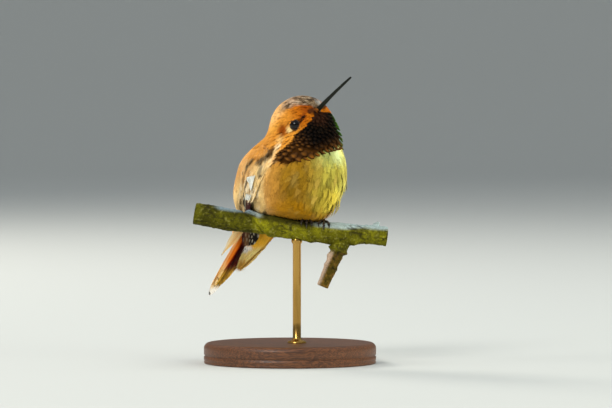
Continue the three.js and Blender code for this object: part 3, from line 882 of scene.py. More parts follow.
def plate_triangles(rows, columns):
    """Triangles of a closed plate: two grids of rows by columns, joined round their rim."""
    i, j = np.meshgrid(np.arange(rows - 1), np.arange(columns - 1), indexing="ij")
    a = (i * columns + j).ravel()
    d = a + columns
    top = np.concatenate([np.stack([a, d, d + 1], -1), np.stack([a, d + 1, a + 1], -1)])
    shift = rows * columns
    k, m = np.arange(columns - 1), np.arange(rows - 1)
    sides = (
        (k, k + 1),
        (m * columns + columns - 1, (m + 1) * columns + columns - 1),
        ((rows - 1) * columns + k + 1, (rows - 1) * columns + k),
        ((m + 1) * columns, m * columns),
    )
    p, q = np.concatenate([np.stack(side, -1) for side in sides]).T
    rim = np.concatenate([np.stack([p, q, q + shift], -1), np.stack([p, q + shift, p + shift], -1)])
    return np.concatenate([top, top[:, ::-1] + shift, rim])


def repeat_triangles(tris, count, size):
    """The triangles of count pieces of size vertices each, from those of the first."""
    return (tris[None] + (np.arange(count) * size)[:, None, None]).reshape(-1, 3)


def vanes(feathers, tint, luck, uv, shape, cup, thickness=0.05, shaft=0.03, ragged=0.0):
    """Plates along centre lines (feather, row, xyz), cupped by cup, with a ridge shaft high along the middle.

    feathers are centre, normal, side and half width. shape is the rows' places along and the columns' across.
    """
    centre, normal, side, half = feathers
    s, t = shape
    count, rows, columns = len(centre), len(s), len(t)
    each = 2 * rows * columns
    along = unit(np.gradient(centre, axis=1))
    length = np.linalg.norm(np.diff(centre, axis=1), axis=2).sum(1)
    lift = (shaft * bell(t, 0.16) * (1 - 0.6 * s[:, None]))[None] - cup * half[..., None] * t**2
    pull = np.zeros((count, rows, columns))
    if ragged:
        notch = rng.random((count, 1, columns)) * ragged
        pull = notch * length[:, None, None] * smoothstep(0.55, 1, s)[None, :, None]
    top = (
        centre[:, :, None]
        + side[:, :, None] * (half[..., None] * t)[..., None]
        + normal[:, :, None] * lift[..., None]
        - along[:, :, None] * pull[..., None]
    )
    verts = np.stack([top, top - normal[:, :, None] * thickness], axis=1).reshape(-1, 3)
    tris = repeat_triangles(plate_triangles(rows, columns), count, each)
    place = np.stack(np.broadcast_arrays(s[:, None], t), -1)
    place = np.broadcast_to(place, (count, 2, rows, columns, 2)).reshape(-1, 2)
    vane = np.concatenate([place, np.repeat(luck, each)[:, None]], 1)
    colours = np.broadcast_to(tint[:, None], (count, 2, rows, columns, 3)).reshape(-1, 3)
    patch = np.repeat(uv, each, axis=0) + 0.0015 * np.stack([place[:, 1], 2 * place[:, 0] - 1], -1)
    rise = 2 * cup * t - shaft * 0.8 * t * bell(t, 0.3) / 0.09
    facing = unit(normal[:, :, None] + side[:, :, None] * (0.8 * rise)[None, None, :, None])
    return verts, tris, colours, vane, patch, np.stack([facing, -facing], axis=1).reshape(-1, 3)


BARB_TRIS = np.array([[0, 2, 1], [0, 1, 3], [1, 2, 3], [2, 0, 3]])


def barbs(base, way, side, normal, length, width, tint, luck, uv):
    """Thin closed spikes that soften a feather."""
    count = len(base)
    half = side * (0.5 * width)[:, None]
    rise = normal * (0.2 * width)[:, None]
    tip = base + way * length[:, None]
    verts = np.stack([base - half, base + half, base + rise, tip], axis=1).reshape(-1, 3)
    place = np.tile([[0.7, 0, 0]] * 3 + [[1, 0, 0]], (count, 1)).astype(float)
    place[:, 2] = np.repeat(luck, 4)
    normals = np.stack([normal - 0.25 * side, normal + 0.25 * side, normal, normal], axis=1)
    corners = 0.0013 * np.array([[-1, -1], [1, -1], [0, -1], [0, 1]])
    patch = np.repeat(uv, 4, axis=0) + np.tile(corners, (count, 1))
    tris = repeat_triangles(BARB_TRIS, count, 4)
    return verts, tris, np.repeat(tint, 4, axis=0), place, patch, unit(normals.reshape(-1, 3))


def centre_lines(roots, lengths, s, levels):
    """Lines that leave the roots along the coat's lie and rise through the levels over the surface."""
    points = roots.copy()
    lines, normals, ways = [points], [body_normal(points)], []
    ways.append(lie(points, normals[0]))
    for k in range(1, len(s)):
        points = points + ways[-1] * (lengths * (s[k] - s[k - 1]))[:, None]
        normal = body_normal(points)
        points = points + normal * (levels[:, k] - body_field(points))[:, None]
        lines.append(points)
        normals.append(normal)
        ways.append(lie(points, normal))
    centre, normal, way = (np.stack(x, axis=1) for x in (lines, normals, ways))
    return centre, normal, unit(np.cross(normal, way)), way


def round_tip(s, waist=0.55):
    """A feather's width along it: narrow root, full middle, round tip."""
    grow = 0.35 + 0.65 * smoothstep(0, waist, s)
    close = np.sqrt(np.clip(1 - ((s - waist) / (1.001 - waist)) ** 2, 0.004, 1))
    return np.where(s < waist, grow, close)


def soft_tip(s):
    """A downy feather's width along it: its vane narrows early and leaves the tip to the barbs."""
    return np.where(s < 0.45, 0.35 + 0.6 * smoothstep(0, 0.45, s), 0.95 - 0.75 * smoothstep(0.45, 1, s))


def grow_barbs(coat, feathers, s, tint, luck, uv, many, reach, thick, spread, stand, start=0.3):
    """Adds many barbs to each feather's outer part, each lying nearly along it.

    reach and thick are their least and greatest length and width, and start is where the first may be.
    """
    centre, normal, side, way, half = feathers
    count = len(centre)
    place = rng.uniform(start, 0.97, (count, many))
    across = rng.uniform(-0.9, 0.9, (count, many))
    row = np.clip(np.searchsorted(s, place.ravel()).reshape(place.shape), 1, len(s) - 1)
    index = np.arange(count)[:, None]
    part = ((place - s[row - 1]) / (s[row] - s[row - 1]))[..., None]
    spine = centre[index, row - 1] * (1 - part) + centre[index, row] * part
    room = half[index, row - 1] * (1 - part[..., 0]) + half[index, row] * part[..., 0]
    n, b, w = normal[index, row], side[index, row], way[index, row]
    base = spine + b * (room * across)[..., None] - n * 0.02
    tilt = rng.normal(stand, stand, across.shape)
    barb_way = unit(w + b * (spread * across)[..., None] + n * tilt[..., None])
    last = tint.shape[2] - 1
    column = np.clip(np.round((across + 1) / 2 * last).astype(int), 0, last)
    shade = tint[index, row, column] * rng.uniform(0.88, 1.14, across.shape)[..., None]
    flat = [x.reshape(-1, 3) for x in (base, barb_way, unit(np.cross(n, barb_way)), n)]
    sizes = [rng.uniform(*limits, across.size) for limits in (reach, thick)]
    coat.add(*barbs(*flat, *sizes, shade.reshape(-1, 3), np.repeat(luck, many), np.repeat(uv, many, axis=0)))


def add_feathers(coat, feathers, shape, colour_of, roots, fringe, **form):
    """Adds plates, and barbs where fringe says how grow_barbs wants them.

    feathers are centre, normal, side, way and half width.
    """
    centre, normal, side, _, half = feathers
    luck, uv = rng.random(len(centre)), unwrap(roots)
    tint = colour_of(centre, side, half, *shape, roots)
    coat.add(*vanes((centre, normal, side, half), tint, luck, uv, shape, **form))
    if fringe:
        grow_barbs(coat, feathers, shape[0], tint, luck, uv, **fringe)


def grow_coat(
    name, slot, material, roots, sizes, rows, columns, colour_of, fringe=None, parts=1, outline=soft_tip,
    settle=0.38, tuck=0.06, **form
):
    """Makes a coat with one feather per root. sizes are arrays of the lengths, widths and lifts.

    Each rises from the skin to the coat's surface over the share settle of its length. Its tip dips by tuck.
    A large coat grows a part at a time, to save memory.
    """
    coat, s, t = Coat(), np.array(rows), np.linspace(-1, 1, columns)
    for part in np.array_split(np.arange(len(roots)), parts):
        own, (length, width, lift) = roots[part], (size[part] for size in sizes)
        depth = skin_depth(own)
        start = -depth[:, None] * (1 - smoothstep(0, settle, s))
        levels = start + lift[:, None] * s - tuck * smoothstep(0.7, 1, s)
        lines = centre_lines(laid(own, -depth), length, s, levels)
        clear = ~in_the_way(lines[0][:, 1:]).any(axis=1)
        feathers = [every[clear] for every in lines] + [0.5 * width[clear, None] * outline(s)]
        add_feathers(coat, feathers, (s, t), colour_of, own[clear], fringe, **form)
    coat.make(name, material, slot)


# ---- Coats of the different regions ----


def spread_over(centre, side, half, t):
    """The points of feathers' rows and columns."""
    return centre[:, :, None] + side[:, :, None] * (half[..., None] * t)[..., None]


def region_colour(centre, side, half, s, t, roots, edge=1.0, heart=1.0, gradient=0.15, mosaic=0.7):
    """Colour over a feather: the markings where it lies, partly as one colour for the whole feather."""
    spread = spread_over(centre, side, half, t)
    whole = plumage(centre[:, -2], gorget=False)[:, None, None]
    base = plumage(spread, gorget=False) * (1 - mosaic) + whole * mosaic
    flat = spread.reshape(-1, 3)
    under_gorget = smoothstep(0.35, 0.8, gorget_depth(flat))
    base = mix(base.reshape(-1, 3), gorget_tint(flat), under_gorget).reshape(spread.shape)
    rows = (1 - gradient) + gradient * s
    across = heart + (edge - heart) * np.abs(t) ** 1.5
    tip = 1 + (edge - 1) * smoothstep(0.8, 1, s)
    return base * (rows[:, None] * tip[:, None] * across)[None, ..., None]


def on_gorget(points):
    return gorget_depth(points) > 0


def back_share(points):
    ahead, _, high = trunk.into(points).T
    return smoothstep(1.5, -3.5, ahead + 0.35 * high)


def by_wing(points):
    """From 0 far from a folded wing to 1 beside it."""
    share = np.zeros(len(points))
    for sign in SIDES.values():
        line = [trunk.out([ahead, sign * out, up]) for ahead, out, up, _ in WING_PLACES[:4]]
        away = np.min([near_line(points, a, b) for a, b in zip(line, line[1:])], axis=0)
        share = np.maximum(share, smoothstep(6.0, 3.8, away))
    return share


def crown_share(points):
    """Where the crown's grey brown cap lies."""
    a, r, u = head.into(points).T
    patch = layered_noise(points, 2.6, 3)
    tilt = np.degrees(np.arctan2(u, np.abs(r)))
    return smoothstep(38, 52, tilt + 22 * (patch - 0.5) - 5 * smoothstep(2, 8, a)) * smoothstep(0.6, 3.6, a)


def varied(count, low, high):
    """A random number for each feather, to multiply its colours with."""
    return rng.uniform(low, high, (count, 1, 1))


def head_colour(centre, side, half, s, t, roots):
    """Face feathers of even colour, and crown feathers with a dark heart and a pale edge."""
    count = len(roots)
    base = region_colour(centre, side, half, s, t, roots, edge=1.03, heart=0.95, mosaic=0.5)
    base = base * varied(count, 0.86, 1.1)[..., None]
    cap = crown_share(roots)[:, None, None]
    heart = bell(t, 0.6) * smoothstep(0.98, 0.55, s)[:, None] * cap
    base = mix(base, srgb(40, 32, 20), 0.95 * heart * varied(count, 0, 1) ** 0.7)
    tips = smoothstep(0.75, 1, s)[:, None] * cap
    return mix(base, srgb(212, 190, 158), 0.6 * tips * varied(count, 0, 1) ** 1.5)


def make_head_coat():
    def wanted(points):
        tips = points + lie(points, body_normal(points)) * 0.7
        return (head_share(points) > 0.5) & ~on_gorget(points) & ~on_gorget(tips)

    def spacing(points):
        a = head.into(points)[:, 0]
        return 0.8 - 0.3 * smoothstep(-3, 8, a)

    roots = scatter(spacing, wanted, 11)
    fine = smoothstep(-4, 8, head.into(roots)[:, 0])
    sizes = 2.5 - 1.3 * fine, 1.35 - 0.65 * fine, 0.04 + 0.08 * rng.random(len(roots))
    fringe = dict(many=18, reach=(0.35, 0.9), thick=(0.045, 0.075), spread=0.38, stand=0.03)
    material, rows = feather_material("head_feathers", 60, 0.92), (0, 0.45, 0.8, 1)
    piece = "coat_head", "rufous_plumage", material
    grow_coat(*piece, roots, sizes, rows, 3, head_colour, fringe, cup=0.1, thickness=0.02)


def gorget_colour(centre, side, half, s, t, roots):
    """Round scales with a painted bronze highlight at the heart and painted shade at the rim."""
    # rim: where painted shade darkens each scale's edges and tip.
    rim = np.maximum(np.abs(t)[None] ** 2.5, smoothstep(0.78, 1.0, s)[:, None])
    # heart: where a painted highlight of bronze sheen lies on each scale.
    heart = np.exp(-(((s[:, None] - 0.7) / 0.17) ** 2) - ((t[None] / 0.55) ** 2))
    r, u = head.into(roots)[:, 1:].T
    # Each scale's share of the painted highlight, more at the sides and the lower edge.
    share = 0.08 + smoothstep(5.5, 10, np.abs(r)) * 0.8 + 0.4 * smoothstep(5.0, 1.0, above_foot(r, u))
    painted_glow = np.clip(share, 0, 1) * rng.uniform(0.3, 1.0, len(roots))
    colour = gorget_tint(laid(roots, 0))[:, None, None] * (1 - 0.62 * rim)[None, ..., None]
    lit = srgb(168, 106, 26) * heart[..., None]
    return colour + lit[None] * (0.62 * painted_glow)[:, None, None, None]


def make_gorget():
    def spacing(points):
        r, u = head.into(points)[:, 1:].T
        near = np.abs(r)
        low = smoothstep(7.5, 1.0, above_foot(r, u))
        return 0.78 + 0.52 * low + 0.5 * low * smoothstep(5, 10, near) + 0.15 * smoothstep(6, 11, near)

    def room(points):
        """How long a scale may be before its tip leaves the gorget, as a share of its spacing."""
        way = lie(points, body_normal(points)) * spacing(points)[:, None]
        share, inside = np.full(len(points), 0.6), np.ones(len(points), bool)
        for longer in (0.8, 1.0, 1.2, 1.4, 1.6):
            inside &= gorget_depth(points + way * longer) > -0.05
            share = np.where(inside, longer, share)
        return share

    def wanted(points):
        return (gorget_depth(points) > 0.1) & (room(points) > 0.7)

    roots = scatter(spacing, wanted, 12)
    size = spacing(roots)
    far = smoothstep(-2.5, -7, head.into(roots)[:, 1])
    sizes = room(roots) * size, 1.5 * size, 0.12 + 0.06 * size + 0.45 * far
    material = feather_material("gorget_scales", 45, 0.85, roughness=0.55, sheen=0.0, specular=0.07)
    piece, rows = ("coat_gorget", "gorget_plumage", material), (0, 0.3, 0.55, 0.75, 0.9, 1)
    form = dict(outline=round_tip, settle=0.85, tuck=0, cup=0.24)
    grow_coat(*piece, roots, sizes, rows, 7, gorget_colour, **form)


def breast_colour(*feathers):
    """The markings, each feather a little brighter or darker than the next."""
    return region_colour(*feathers, edge=1.04, heart=0.95) * varied(len(feathers[-1]), 0.84, 1.1)[..., None]


def make_trunk_coat():
    def wanted(points):
        return (head_share(points) <= 0.5) & (gorget_depth(points) < 1.6) & (back_share(points) < 0.5)

    roots = scatter(lambda points: np.full(len(points), 0.95), wanted, 13)
    roots = roots[np.argsort(np.arctan2(*trunk.into(roots)[:, 1::-1].T))]
    count = len(roots)
    length, width = rng.uniform(3.4, 4.8, count), rng.uniform(1.7, 2.3, count)
    clumps = layered_noise(roots * [1, 1, 0.4], 2.4, 91, 2)
    ahead, side, high = trunk.into(roots).T
    below_gorget = smoothstep(0.3, -1.2, gorget_depth(roots))
    loose = smoothstep(12, 15, ahead) * smoothstep(3, -4, side) * smoothstep(-12, -2, high) * below_gorget
    lift = rng.uniform(0.0, 0.08, count) + (0.16 + 1.4 * loose) * (clumps - 0.38)
    fluffed = smoothstep(2, 7, ahead) * smoothstep(-11, -5, high) * smoothstep(6.5, 3, high)
    ragged = fluffed * smoothstep(7.5, 13.5, ahead) * smoothstep(8, -4, side)
    lift = lift + (0.5 * fluffed + 1.0 * ragged) * rng.random(count) ** 3.5
    fringe = dict(many=46, reach=(1.0, 2.2), thick=(0.07, 0.12), spread=0.36, stand=0.025)
    material, rows = feather_material("breast_feathers", 70, 0.94), (0, 0.4, 0.75, 1)
    piece, sizes = ("coat_breast", "belly_plumage", material), (length, width, lift)
    grow_coat(*piece, roots, sizes, rows, 3, breast_colour, fringe, 10, cup=0.08, thickness=0.02)


def back_colour(centre, side, half, s, t, roots):
    """Peach feathers with an olive brown heart and a cream edge."""
    base = region_colour(centre, side, half, s, t, roots, gradient=0.2)
    heart = bell(t, 0.4) * smoothstep(0.95, 0.55, s)[:, None]
    base = mix(base, srgb(150, 108, 54), 0.5 * heart * varied(len(roots), 0.2, 1))
    edge = np.maximum(np.abs(t) ** 3, smoothstep(0.86, 1, s)[:, None])
    return mix(base, srgb(244, 214, 156), 0.3 * edge)


def make_back_coat():
    def wanted(points):
        return (head_share(points) <= 0.5) & ~on_gorget(points) & (back_share(points) >= 0.5)

    roots = scatter(lambda points: np.full(len(points), 1.15), wanted, 14)
    count = len(roots)
    length, width = rng.uniform(3.2, 4.4, count), rng.uniform(2.0, 2.6, count)
    lift = rng.uniform(0.0, 0.12, count) + 0.1 * by_wing(roots)
    fringe = dict(many=34, reach=(0.8, 1.7), thick=(0.06, 0.11), spread=0.38, stand=0.025)
    material, rows = feather_material("back_feathers", 80, 0.88), (0, 0.35, 0.6, 0.8, 1)
    piece, sizes = ("coat_back", "rufous_plumage", material), (length, width, lift)
    grow_coat(*piece, roots, sizes, rows, 5, back_colour, fringe, 4, cup=0.12, thickness=0.03)


def make_skin():
    """The bird's skin, which lies under the coat and carries the same markings."""
    turns, heights = 200, 140
    poles = np.array([[0, 0, 1.0], [0, 0, -1.0]])
    points = surface_along(np.concatenate([sphere_rings(heights, turns).reshape(-1, 3), poles]), 0.0)
    points = laid(points, -skin_depth(points))
    i, j = np.meshgrid(np.arange(heights - 2), np.arange(turns), indexing="ij")
    a = i * turns + j
    b = i * turns + (j + 1) % turns
    k = np.arange(turns)
    last = (heights - 2) * turns
    tris = [
        np.stack([a, a + turns, b + turns], -1).reshape(-1, 3),
        np.stack([a, b + turns, b], -1).reshape(-1, 3),
        np.stack([np.full(turns, len(points) - 2), k, (k + 1) % turns], -1),
        np.stack([np.full(turns, len(points) - 1), last + (k + 1) % turns, last + k], -1),
    ]
    material = tinted_material("skin", 1800, (0.78, 0.76, 0.74), (1, 1, 1), 0.6, 0.0002, 0.9, specular=0.05)
    skin = mesh_object("skin", points, np.concatenate(tris), material, plumage(points))
    wear(skin, "belly_plumage", "head", "throat", "neck", "trunk", "rump")


# ---- Wings and tail: long vanes ----


def long_vane_colour(base, edge, tip, s, t, tip_start=0.88):
    """Colours over one long feather as (row, column, rgb)."""
    s, t = s[:, None], np.abs(t)[None]
    colour = mix(base, edge, smoothstep(0.55, 1.0, t) * np.ones_like(s))
    colour = mix(colour, tip, smoothstep(tip_start, 1.0, s) * np.ones_like(t))
    return mix(colour, base * 0.6, bell(t, 0.12) * np.ones_like(s))


def long_width(s, tip_from=0.78, root=0.35):
    """A long feather's width along it: even from a third of its length to its round tip."""
    grow = root + (1 - root) * smoothstep(0, 0.35, s)
    close = np.sqrt(np.clip(1 - ((s - tip_from) / (1.001 - tip_from)) ** 2, 0.002, 1))
    return np.where(s < tip_from, grow, grow * close)


# Millimetres of a long feather that carry as many fine barb lines as a whole short feather does.
BARB_UNIT = 3


class LongFeathers:
    """Long vanes, each with its own square patch of the bake map."""

    def __init__(self, patches_across):
        self.coat = Coat()
        self.across = patches_across
        self.number = 0

    def add(self, path, outward, half, colour_of, rows, columns, width=long_width, ragged=0.02):
        s, t = np.linspace(0, 1, rows), np.linspace(-1, 1, columns)
        way = path.along(s)
        normal = outward(s)
        normal = unit(normal - way * np.sum(normal * way, axis=1, keepdims=True))
        feather = [x[None] for x in (path.at(s), normal, np.cross(normal, way), half * width(s))]
        tint = colour_of(s, t)[None]
        form = dict(cup=0.1, thickness=0.1, shaft=0.08, ragged=ragged)
        plates = vanes(feather, tint, rng.random(1), np.zeros((1, 2)), (s, t), **form)
        verts, tris, colours, vane, _, normals = plates
        cell = 1 / self.across
        corner = np.array([self.number % self.across, self.number // self.across]) * cell
        half_of_patch = np.repeat([0, 0.5], rows * columns)[:, None] * [1, 0]
        place = np.stack([(vane[:, 1] + 1) / 2, vane[:, 0]], -1)
        uv = corner + cell * (0.03 + (place * [0.44, 0.92] + half_of_patch * 0.96))
        vane[:, 0] *= path.length / BARB_UNIT
        self.coat.add(verts, tris, colours, vane, uv, normals)
        self.number += 1


def wing_frame(side):
    """Two functions for a folded wing: the way outwards from it, and places on it."""
    sign = SIDES[side]
    points = []
    for ahead, out, up, lift in WING_PLACES:
        point = trunk.out([ahead, sign * out, up])
        points.append(point if lift is None else laid(point[None], lift)[0])
    path = Path(points)

    def outward(s):
        ahead = level_at((0.05, -0.2, -0.5, -0.5), s)
        out = sign * level_at((1, 0.9, 0.6, 0.5), s)
        up = level_at((0.35, 0.25, 0.35, 0.5), s)
        return unit(trunk.turn(np.stack([ahead, out, up], -1)))

    def place(s, t, height):
        """A point on the wing: s from wrist to tip, t from leading edge at -1 to trailing edge at 1."""
        s = np.asarray(s, float)
        along = path.along(s)
        behind = unit(np.cross(along, outward(s))) * sign
        out = unit(outward(s) - along * np.sum(outward(s) * along, axis=-1, keepdims=True))
        reach = WING_HALF_WIDTH * np.where(t > 0, level_at(WING_TRAILING, s), level_at(WING_LEADING, s))
        t, height = np.asarray(t), np.asarray(height)
        lift = height - 0.9 * t**2
        spot = path.at(s) + behind * (t * reach)[..., None] + out * lift[..., None]
        free = smoothstep(0.6, 0.2, t)[..., None]
        level = (0.25 + 0.35 * height) * smoothstep(-1.6, -0.8, t) - 0.35 * smoothstep(-1.0, -1.6, t)
        return spot * (1 - free) + afloat(spot, level) * free

    return outward, place


def wing_covert_colour(base, edge, heart_share):
    """A covert: pale edge, middle tone, and a dark streak along the shaft."""

    def colour(s, t):
        s, t = s[:, None], np.abs(t)[None]
        tint = mix(base, edge, np.maximum(smoothstep(0.5, 0.9, t), smoothstep(0.85, 1.0, s)))
        return mix(tint, srgb(44, 34, 22), heart_share * bell(t, 0.4) * smoothstep(0.98, 0.7, s))

    return colour


# Where the fan of primaries passes the perch and where it ends, from its first feather to its last.
FAN_PASSES = {"right": ((6.5, 6.2, -1.9), (3.9, 6.2, -5.1)), "left": ((5.5, -5.4, 1.2), (5.5, -5.2, -0.4))}
FAN_ENDS = {"right": ((10.4, 6.0, -4.0), (7.8, 6.0, -6.1)), "left": ((10.5, -4.4, 1.2), (9, -4.6, 0))}
PRIMARIES = 8


def plain_vane(base, edge, tip):
    return lambda s, t: long_vane_colour(base, edge, tip, s, t)


def flecked_vane(base, fleck, share, rate):
    """A dark vane with pale flecks along its edges."""

    def colour(s, t):
        flecks = smoothstep(0.35, 0.8, np.sin(rate * s)[:, None] * np.ones(len(t)))
        edge = smoothstep(0.35, 0.75, np.abs(t))[None]
        tint = long_vane_colour(base, base * 0.5, base * 1.3, s, t, 0.9)
        return mix(tint, fleck, share * flecks * edge)

    return colour


def add_primaries(group, side, outward, place, fleck):
    """The fan of long feathers that leaves the wing and passes the perch."""
    facing_end = trunk.turn([0.4, 0.9 * SIDES[side], 0])
    for k in range(PRIMARIES):
        share = k / (PRIMARIES - 1)
        on_wing = place(np.array([0.3, 0.45, 0.6]), np.full(3, -0.5 + 0.9 * share), np.full(3, 0.04 * k))
        beyond = [tail.out(mix(*np.array(fan[side]), share)) for fan in (FAN_PASSES, FAN_ENDS)]
        dusk = mix(srgb(58, 14, 8), srgb(120, 84, 52), smoothstep(0.1, 0.3, share))
        dusk = mix(dusk, srgb(20, 15, 10), smoothstep(0.38, 0.68, share + rng.uniform(-0.1, 0.1)))
        group.add(
            Path([*on_wing, *beyond], fine=90),
            lambda x: outward(0.3 + 0.5 * x) * (1 - x[:, None]) + facing_end * x[:, None],
            rng.uniform(0.85, 1.1),
            flecked_vane(dusk, fleck, 0.9 * share, 40 + 3 * k),
            60,
            9,
        )


def make_wings():
    material = feather_material("wing_feathers", 160, 0.82, roughness=0.6, specular=0.12)
    pale, olive = srgb(232, 220, 190), srgb(124, 110, 74)
    buff, white = srgb(206, 160, 98), srgb(236, 240, 232)
    inner, tuft = plain_vane(olive * 0.45, pale * 0.8, pale), plain_vane(white * 0.85, white, white)
    for side in SIDES:
        outward, place = wing_frame(side)
        group = LongFeathers(9)

        def vane_between(start, end, bow, width, colour, height, columns, rows):
            """A feather from (s, t) to (s, t), bowed across the wing on its way."""
            k = np.linspace(0, 1, 6)
            run = end[0] - start[0]
            t = start[1] + (end[1] - start[1]) * k + bow * np.sin(np.pi * k)
            line = Path(place(start[0] + run * k, t, height * np.ones(6)), fine=60)
            group.add(line, lambda x: outward(start[0] + run * x), width, colour, rows, columns)

        add_primaries(group, side, outward, place, pale * 0.8)
        for k in range(6):  # secondaries
            start, end = (0.28, 0.1 + 0.12 * k), (0.68 - 0.045 * k, 0.35 + 0.1 * k)
            vane_between(start, end, 0.05, 1.2, inner, 0.5 + 0.05 * k, 9, 22)
        for k in range(10):  # greater coverts
            t = -0.8 + 1.6 * k / 9
            shade = rng.uniform(0.85, 1.1)
            base = mix(olive, buff, rng.uniform(0.3, 0.9)) * shade
            colour = wing_covert_colour(base, pale * shade, rng.uniform(0.3, 1.0))
            end = (rng.uniform(0.46, 0.5) + 0.05 * (t > -0.2), t + rng.uniform(-0.05, 0.05))
            width = rng.uniform(0.75, 1.05)
            vane_between((0.24, t * 0.95), end, 0.0, width, colour, 0.62 + 0.03 * (k % 3), 7, 12)
        for k in range(7):  # a white tuft of the flank lies over the wing and narrows downwards
            start = (0.24 + 0.009 * k, -0.75 + 0.12 * k)
            end = (0.385 - 0.012 * k + rng.uniform(-0.01, 0.01), -0.72 + 0.04 * k)
            vane_between(start, end, 0.03, rng.uniform(0.32, 0.5), tuft, 1.3, 5, 9)
        for k in range(4):  # and a smaller one below it
            start = (0.425 + 0.004 * k, -0.88 + 0.14 * k)
            vane_between(start, (start[0] + 0.06, start[1]), 0.02, rng.uniform(0.35, 0.45), tuft, 1.3, 5, 9)
        nodes = [f"wing_{side}_{part}" for part in ("coverts", "primaries", "secondaries")]
        group.coat.make(f"wing_{side}", material, "flight_feathers", *nodes)
        make_small_coverts(side, outward, place)


def make_small_coverts(side, outward, place):
    """Soft peach feathers with dark streaks over the wrist and shoulder."""
    rows, columns = np.array((0, 0.2, 0.4, 0.6, 0.8, 1)), np.linspace(-1, 1, 7)
    centre, width = [], []
    for number, start in enumerate(np.linspace(-0.1, 0.36, 13)):
        for t in np.linspace(-1.05, 1, 10 if number % 2 else 9):
            t = t + rng.normal(0, 0.09)
            s = start + rng.uniform(-0.01, 0.01) + rng.uniform(0.12, 0.18) * rows
            flare = 1 + 0.25 * smoothstep(0.25, 0.0, s)
            height = 0.3 + 0.4 * smoothstep(0, 0.6, rows) + rng.uniform(0, 0.15)
            centre.append(place(s, t * flare * np.ones(6), height))
            width.append(rng.uniform(1.1, 1.7))
    centre = np.array(centre)
    way = unit(np.gradient(centre, axis=1))
    normal = np.broadcast_to(outward(np.array([0.15])), centre.shape)
    normal = unit(normal - way * np.sum(normal * way, axis=-1, keepdims=True))
    half = 0.5 * np.array(width)[:, None] * round_tip(rows)
    feathers = (centre, normal, np.cross(normal, way), way, half)

    def colour(centre, side, half, s, t, roots):
        whole = plumage(centre[:, -2])[:, None, None]
        tint = 0.8 * plumage(spread_over(centre, side, half, t)) + 0.2 * whole
        edge = np.maximum(np.abs(t)[None] ** 3, smoothstep(0.8, 1, s)[:, None])
        return mix(tint, srgb(240, 216, 172), 0.15 * edge)

    coat = Coat()
    fringe = dict(many=36, reach=(0.7, 1.5), thick=(0.06, 0.1), spread=0.36, stand=0.03, start=0.35)
    add_feathers(coat, feathers, (rows, columns), colour, centre[:, 0], fringe, cup=0.16, thickness=0.04)
    material = feather_material(f"wing_{side}_coverts", 80, 0.88)
    coat.make(f"wing_{side}_small_coverts", material, "rufous_plumage")


def tail_colour(sign, rank, length):
    """Maroon inner webs as painted shade of the tail's underside, turning olive gold as painted light through
    the vanes, an orange outer edge brightened in part as a painted highlight, and a pale tip on the middle
    pair.
    """
    maroon, deep = srgb(78, 8, 2), srgb(168, 44, 4)
    gold, olive = srgb(238, 184, 62), srgb(132, 98, 22)
    orange, peach, tip = srgb(255, 136, 34), srgb(255, 218, 152), srgb(255, 252, 246)
    outermost = len(TAIL_RIGHT) - 1

    def colour(s, t):
        s = s[:, None] * np.ones((1, len(t)))
        outer = sign * t[None] * np.ones((len(s), 1))
        lines = 0.5 + 0.5 * np.sin(9 * outer + 3 * rank)
        reach = length * s
        # The maroon is painted shade on the underside, and the olive gold further out is painted light
        # shining through the vanes.
        far = smoothstep(19.5, 23, reach + 1.2 * outer)
        inner = mix(mix(maroon, deep, 0.6 * lines), mix(gold, olive, lines), far)
        if sign < 0:
            return mix(inner, peach, smoothstep(0.3, 1.0, outer) * 0.5 * smoothstep(20, 24, reach))
        if rank == outermost:
            edge = mix(srgb(255, 222, 160), srgb(255, 242, 212), smoothstep(0.4, 0.9, s))
            return mix(mix(peach, srgb(244, 172, 92), 0.7 * lines), edge, smoothstep(-0.2, 0.4, outer))
        # The outer edge: its own orange and peach, brightened in part as a painted highlight where it catches
        # the light.
        edge = painted(
            peach,
            (orange, smoothstep(5, 8, reach - 5 * outer)),
            (peach, smoothstep(17, 23, reach)),
            (peach, 0.7 * smoothstep(0.2, 0.8, outer)),
            (srgb(206, 84, 22), 0.6 * smoothstep(-0.4, -0.8, outer) * smoothstep(5, 8, reach)),
        )
        start = -0.9 if rank == outermost - 1 else -0.3
        tint = mix(inner, edge, smoothstep(start, start + 0.35, outer))
        return mix(tint, tip, smoothstep(0.88, 0.95, s)) if rank == 0 else tint

    return colour


def make_tail():
    material = feather_material("tail_vanes", 170, 0.9, roughness=0.65, sheen=0.0, specular=0.08)
    group = LongFeathers(4)
    part = np.array([0.0, 0.35, 0.7, 1.0])
    for sign, feathers in ((1, TAIL_RIGHT), (-1, TAIL_LEFT)):
        for rank, (length, half, aside, fan) in enumerate(feathers):
            fan = math.radians(fan)
            along, out = length * part * math.cos(fan), sign * (aside + length * part * math.sin(fan))
            layer = 1.2 - TAIL_LAYER * rank - (0.18 if sign < 0 else 0)
            line = Path(tail.out(np.stack([along, out, layer - 0.045 * length * part**2], -1)))
            pointed = sign > 0 and rank == len(TAIL_RIGHT) - 1
            tip_from = 0.84 if sign > 0 and rank == 0 else 0.5

            def width(s):
                return 1 - 0.9 * smoothstep(0.5, 1.05, s) if pointed else long_width(s, tip_from, 0.5)

            colour, ragged = tail_colour(sign, rank, length), 0.16 if pointed else 0.03
            group.add(line, steady(tail.axes[2]), half, colour, 34, 13, width, ragged)
    nodes = [f"tail_feather_{side}_{rank}" for side in SIDES for rank in range(1, 6)]
    group.coat.make("tail", material, "tail_feathers", *nodes)


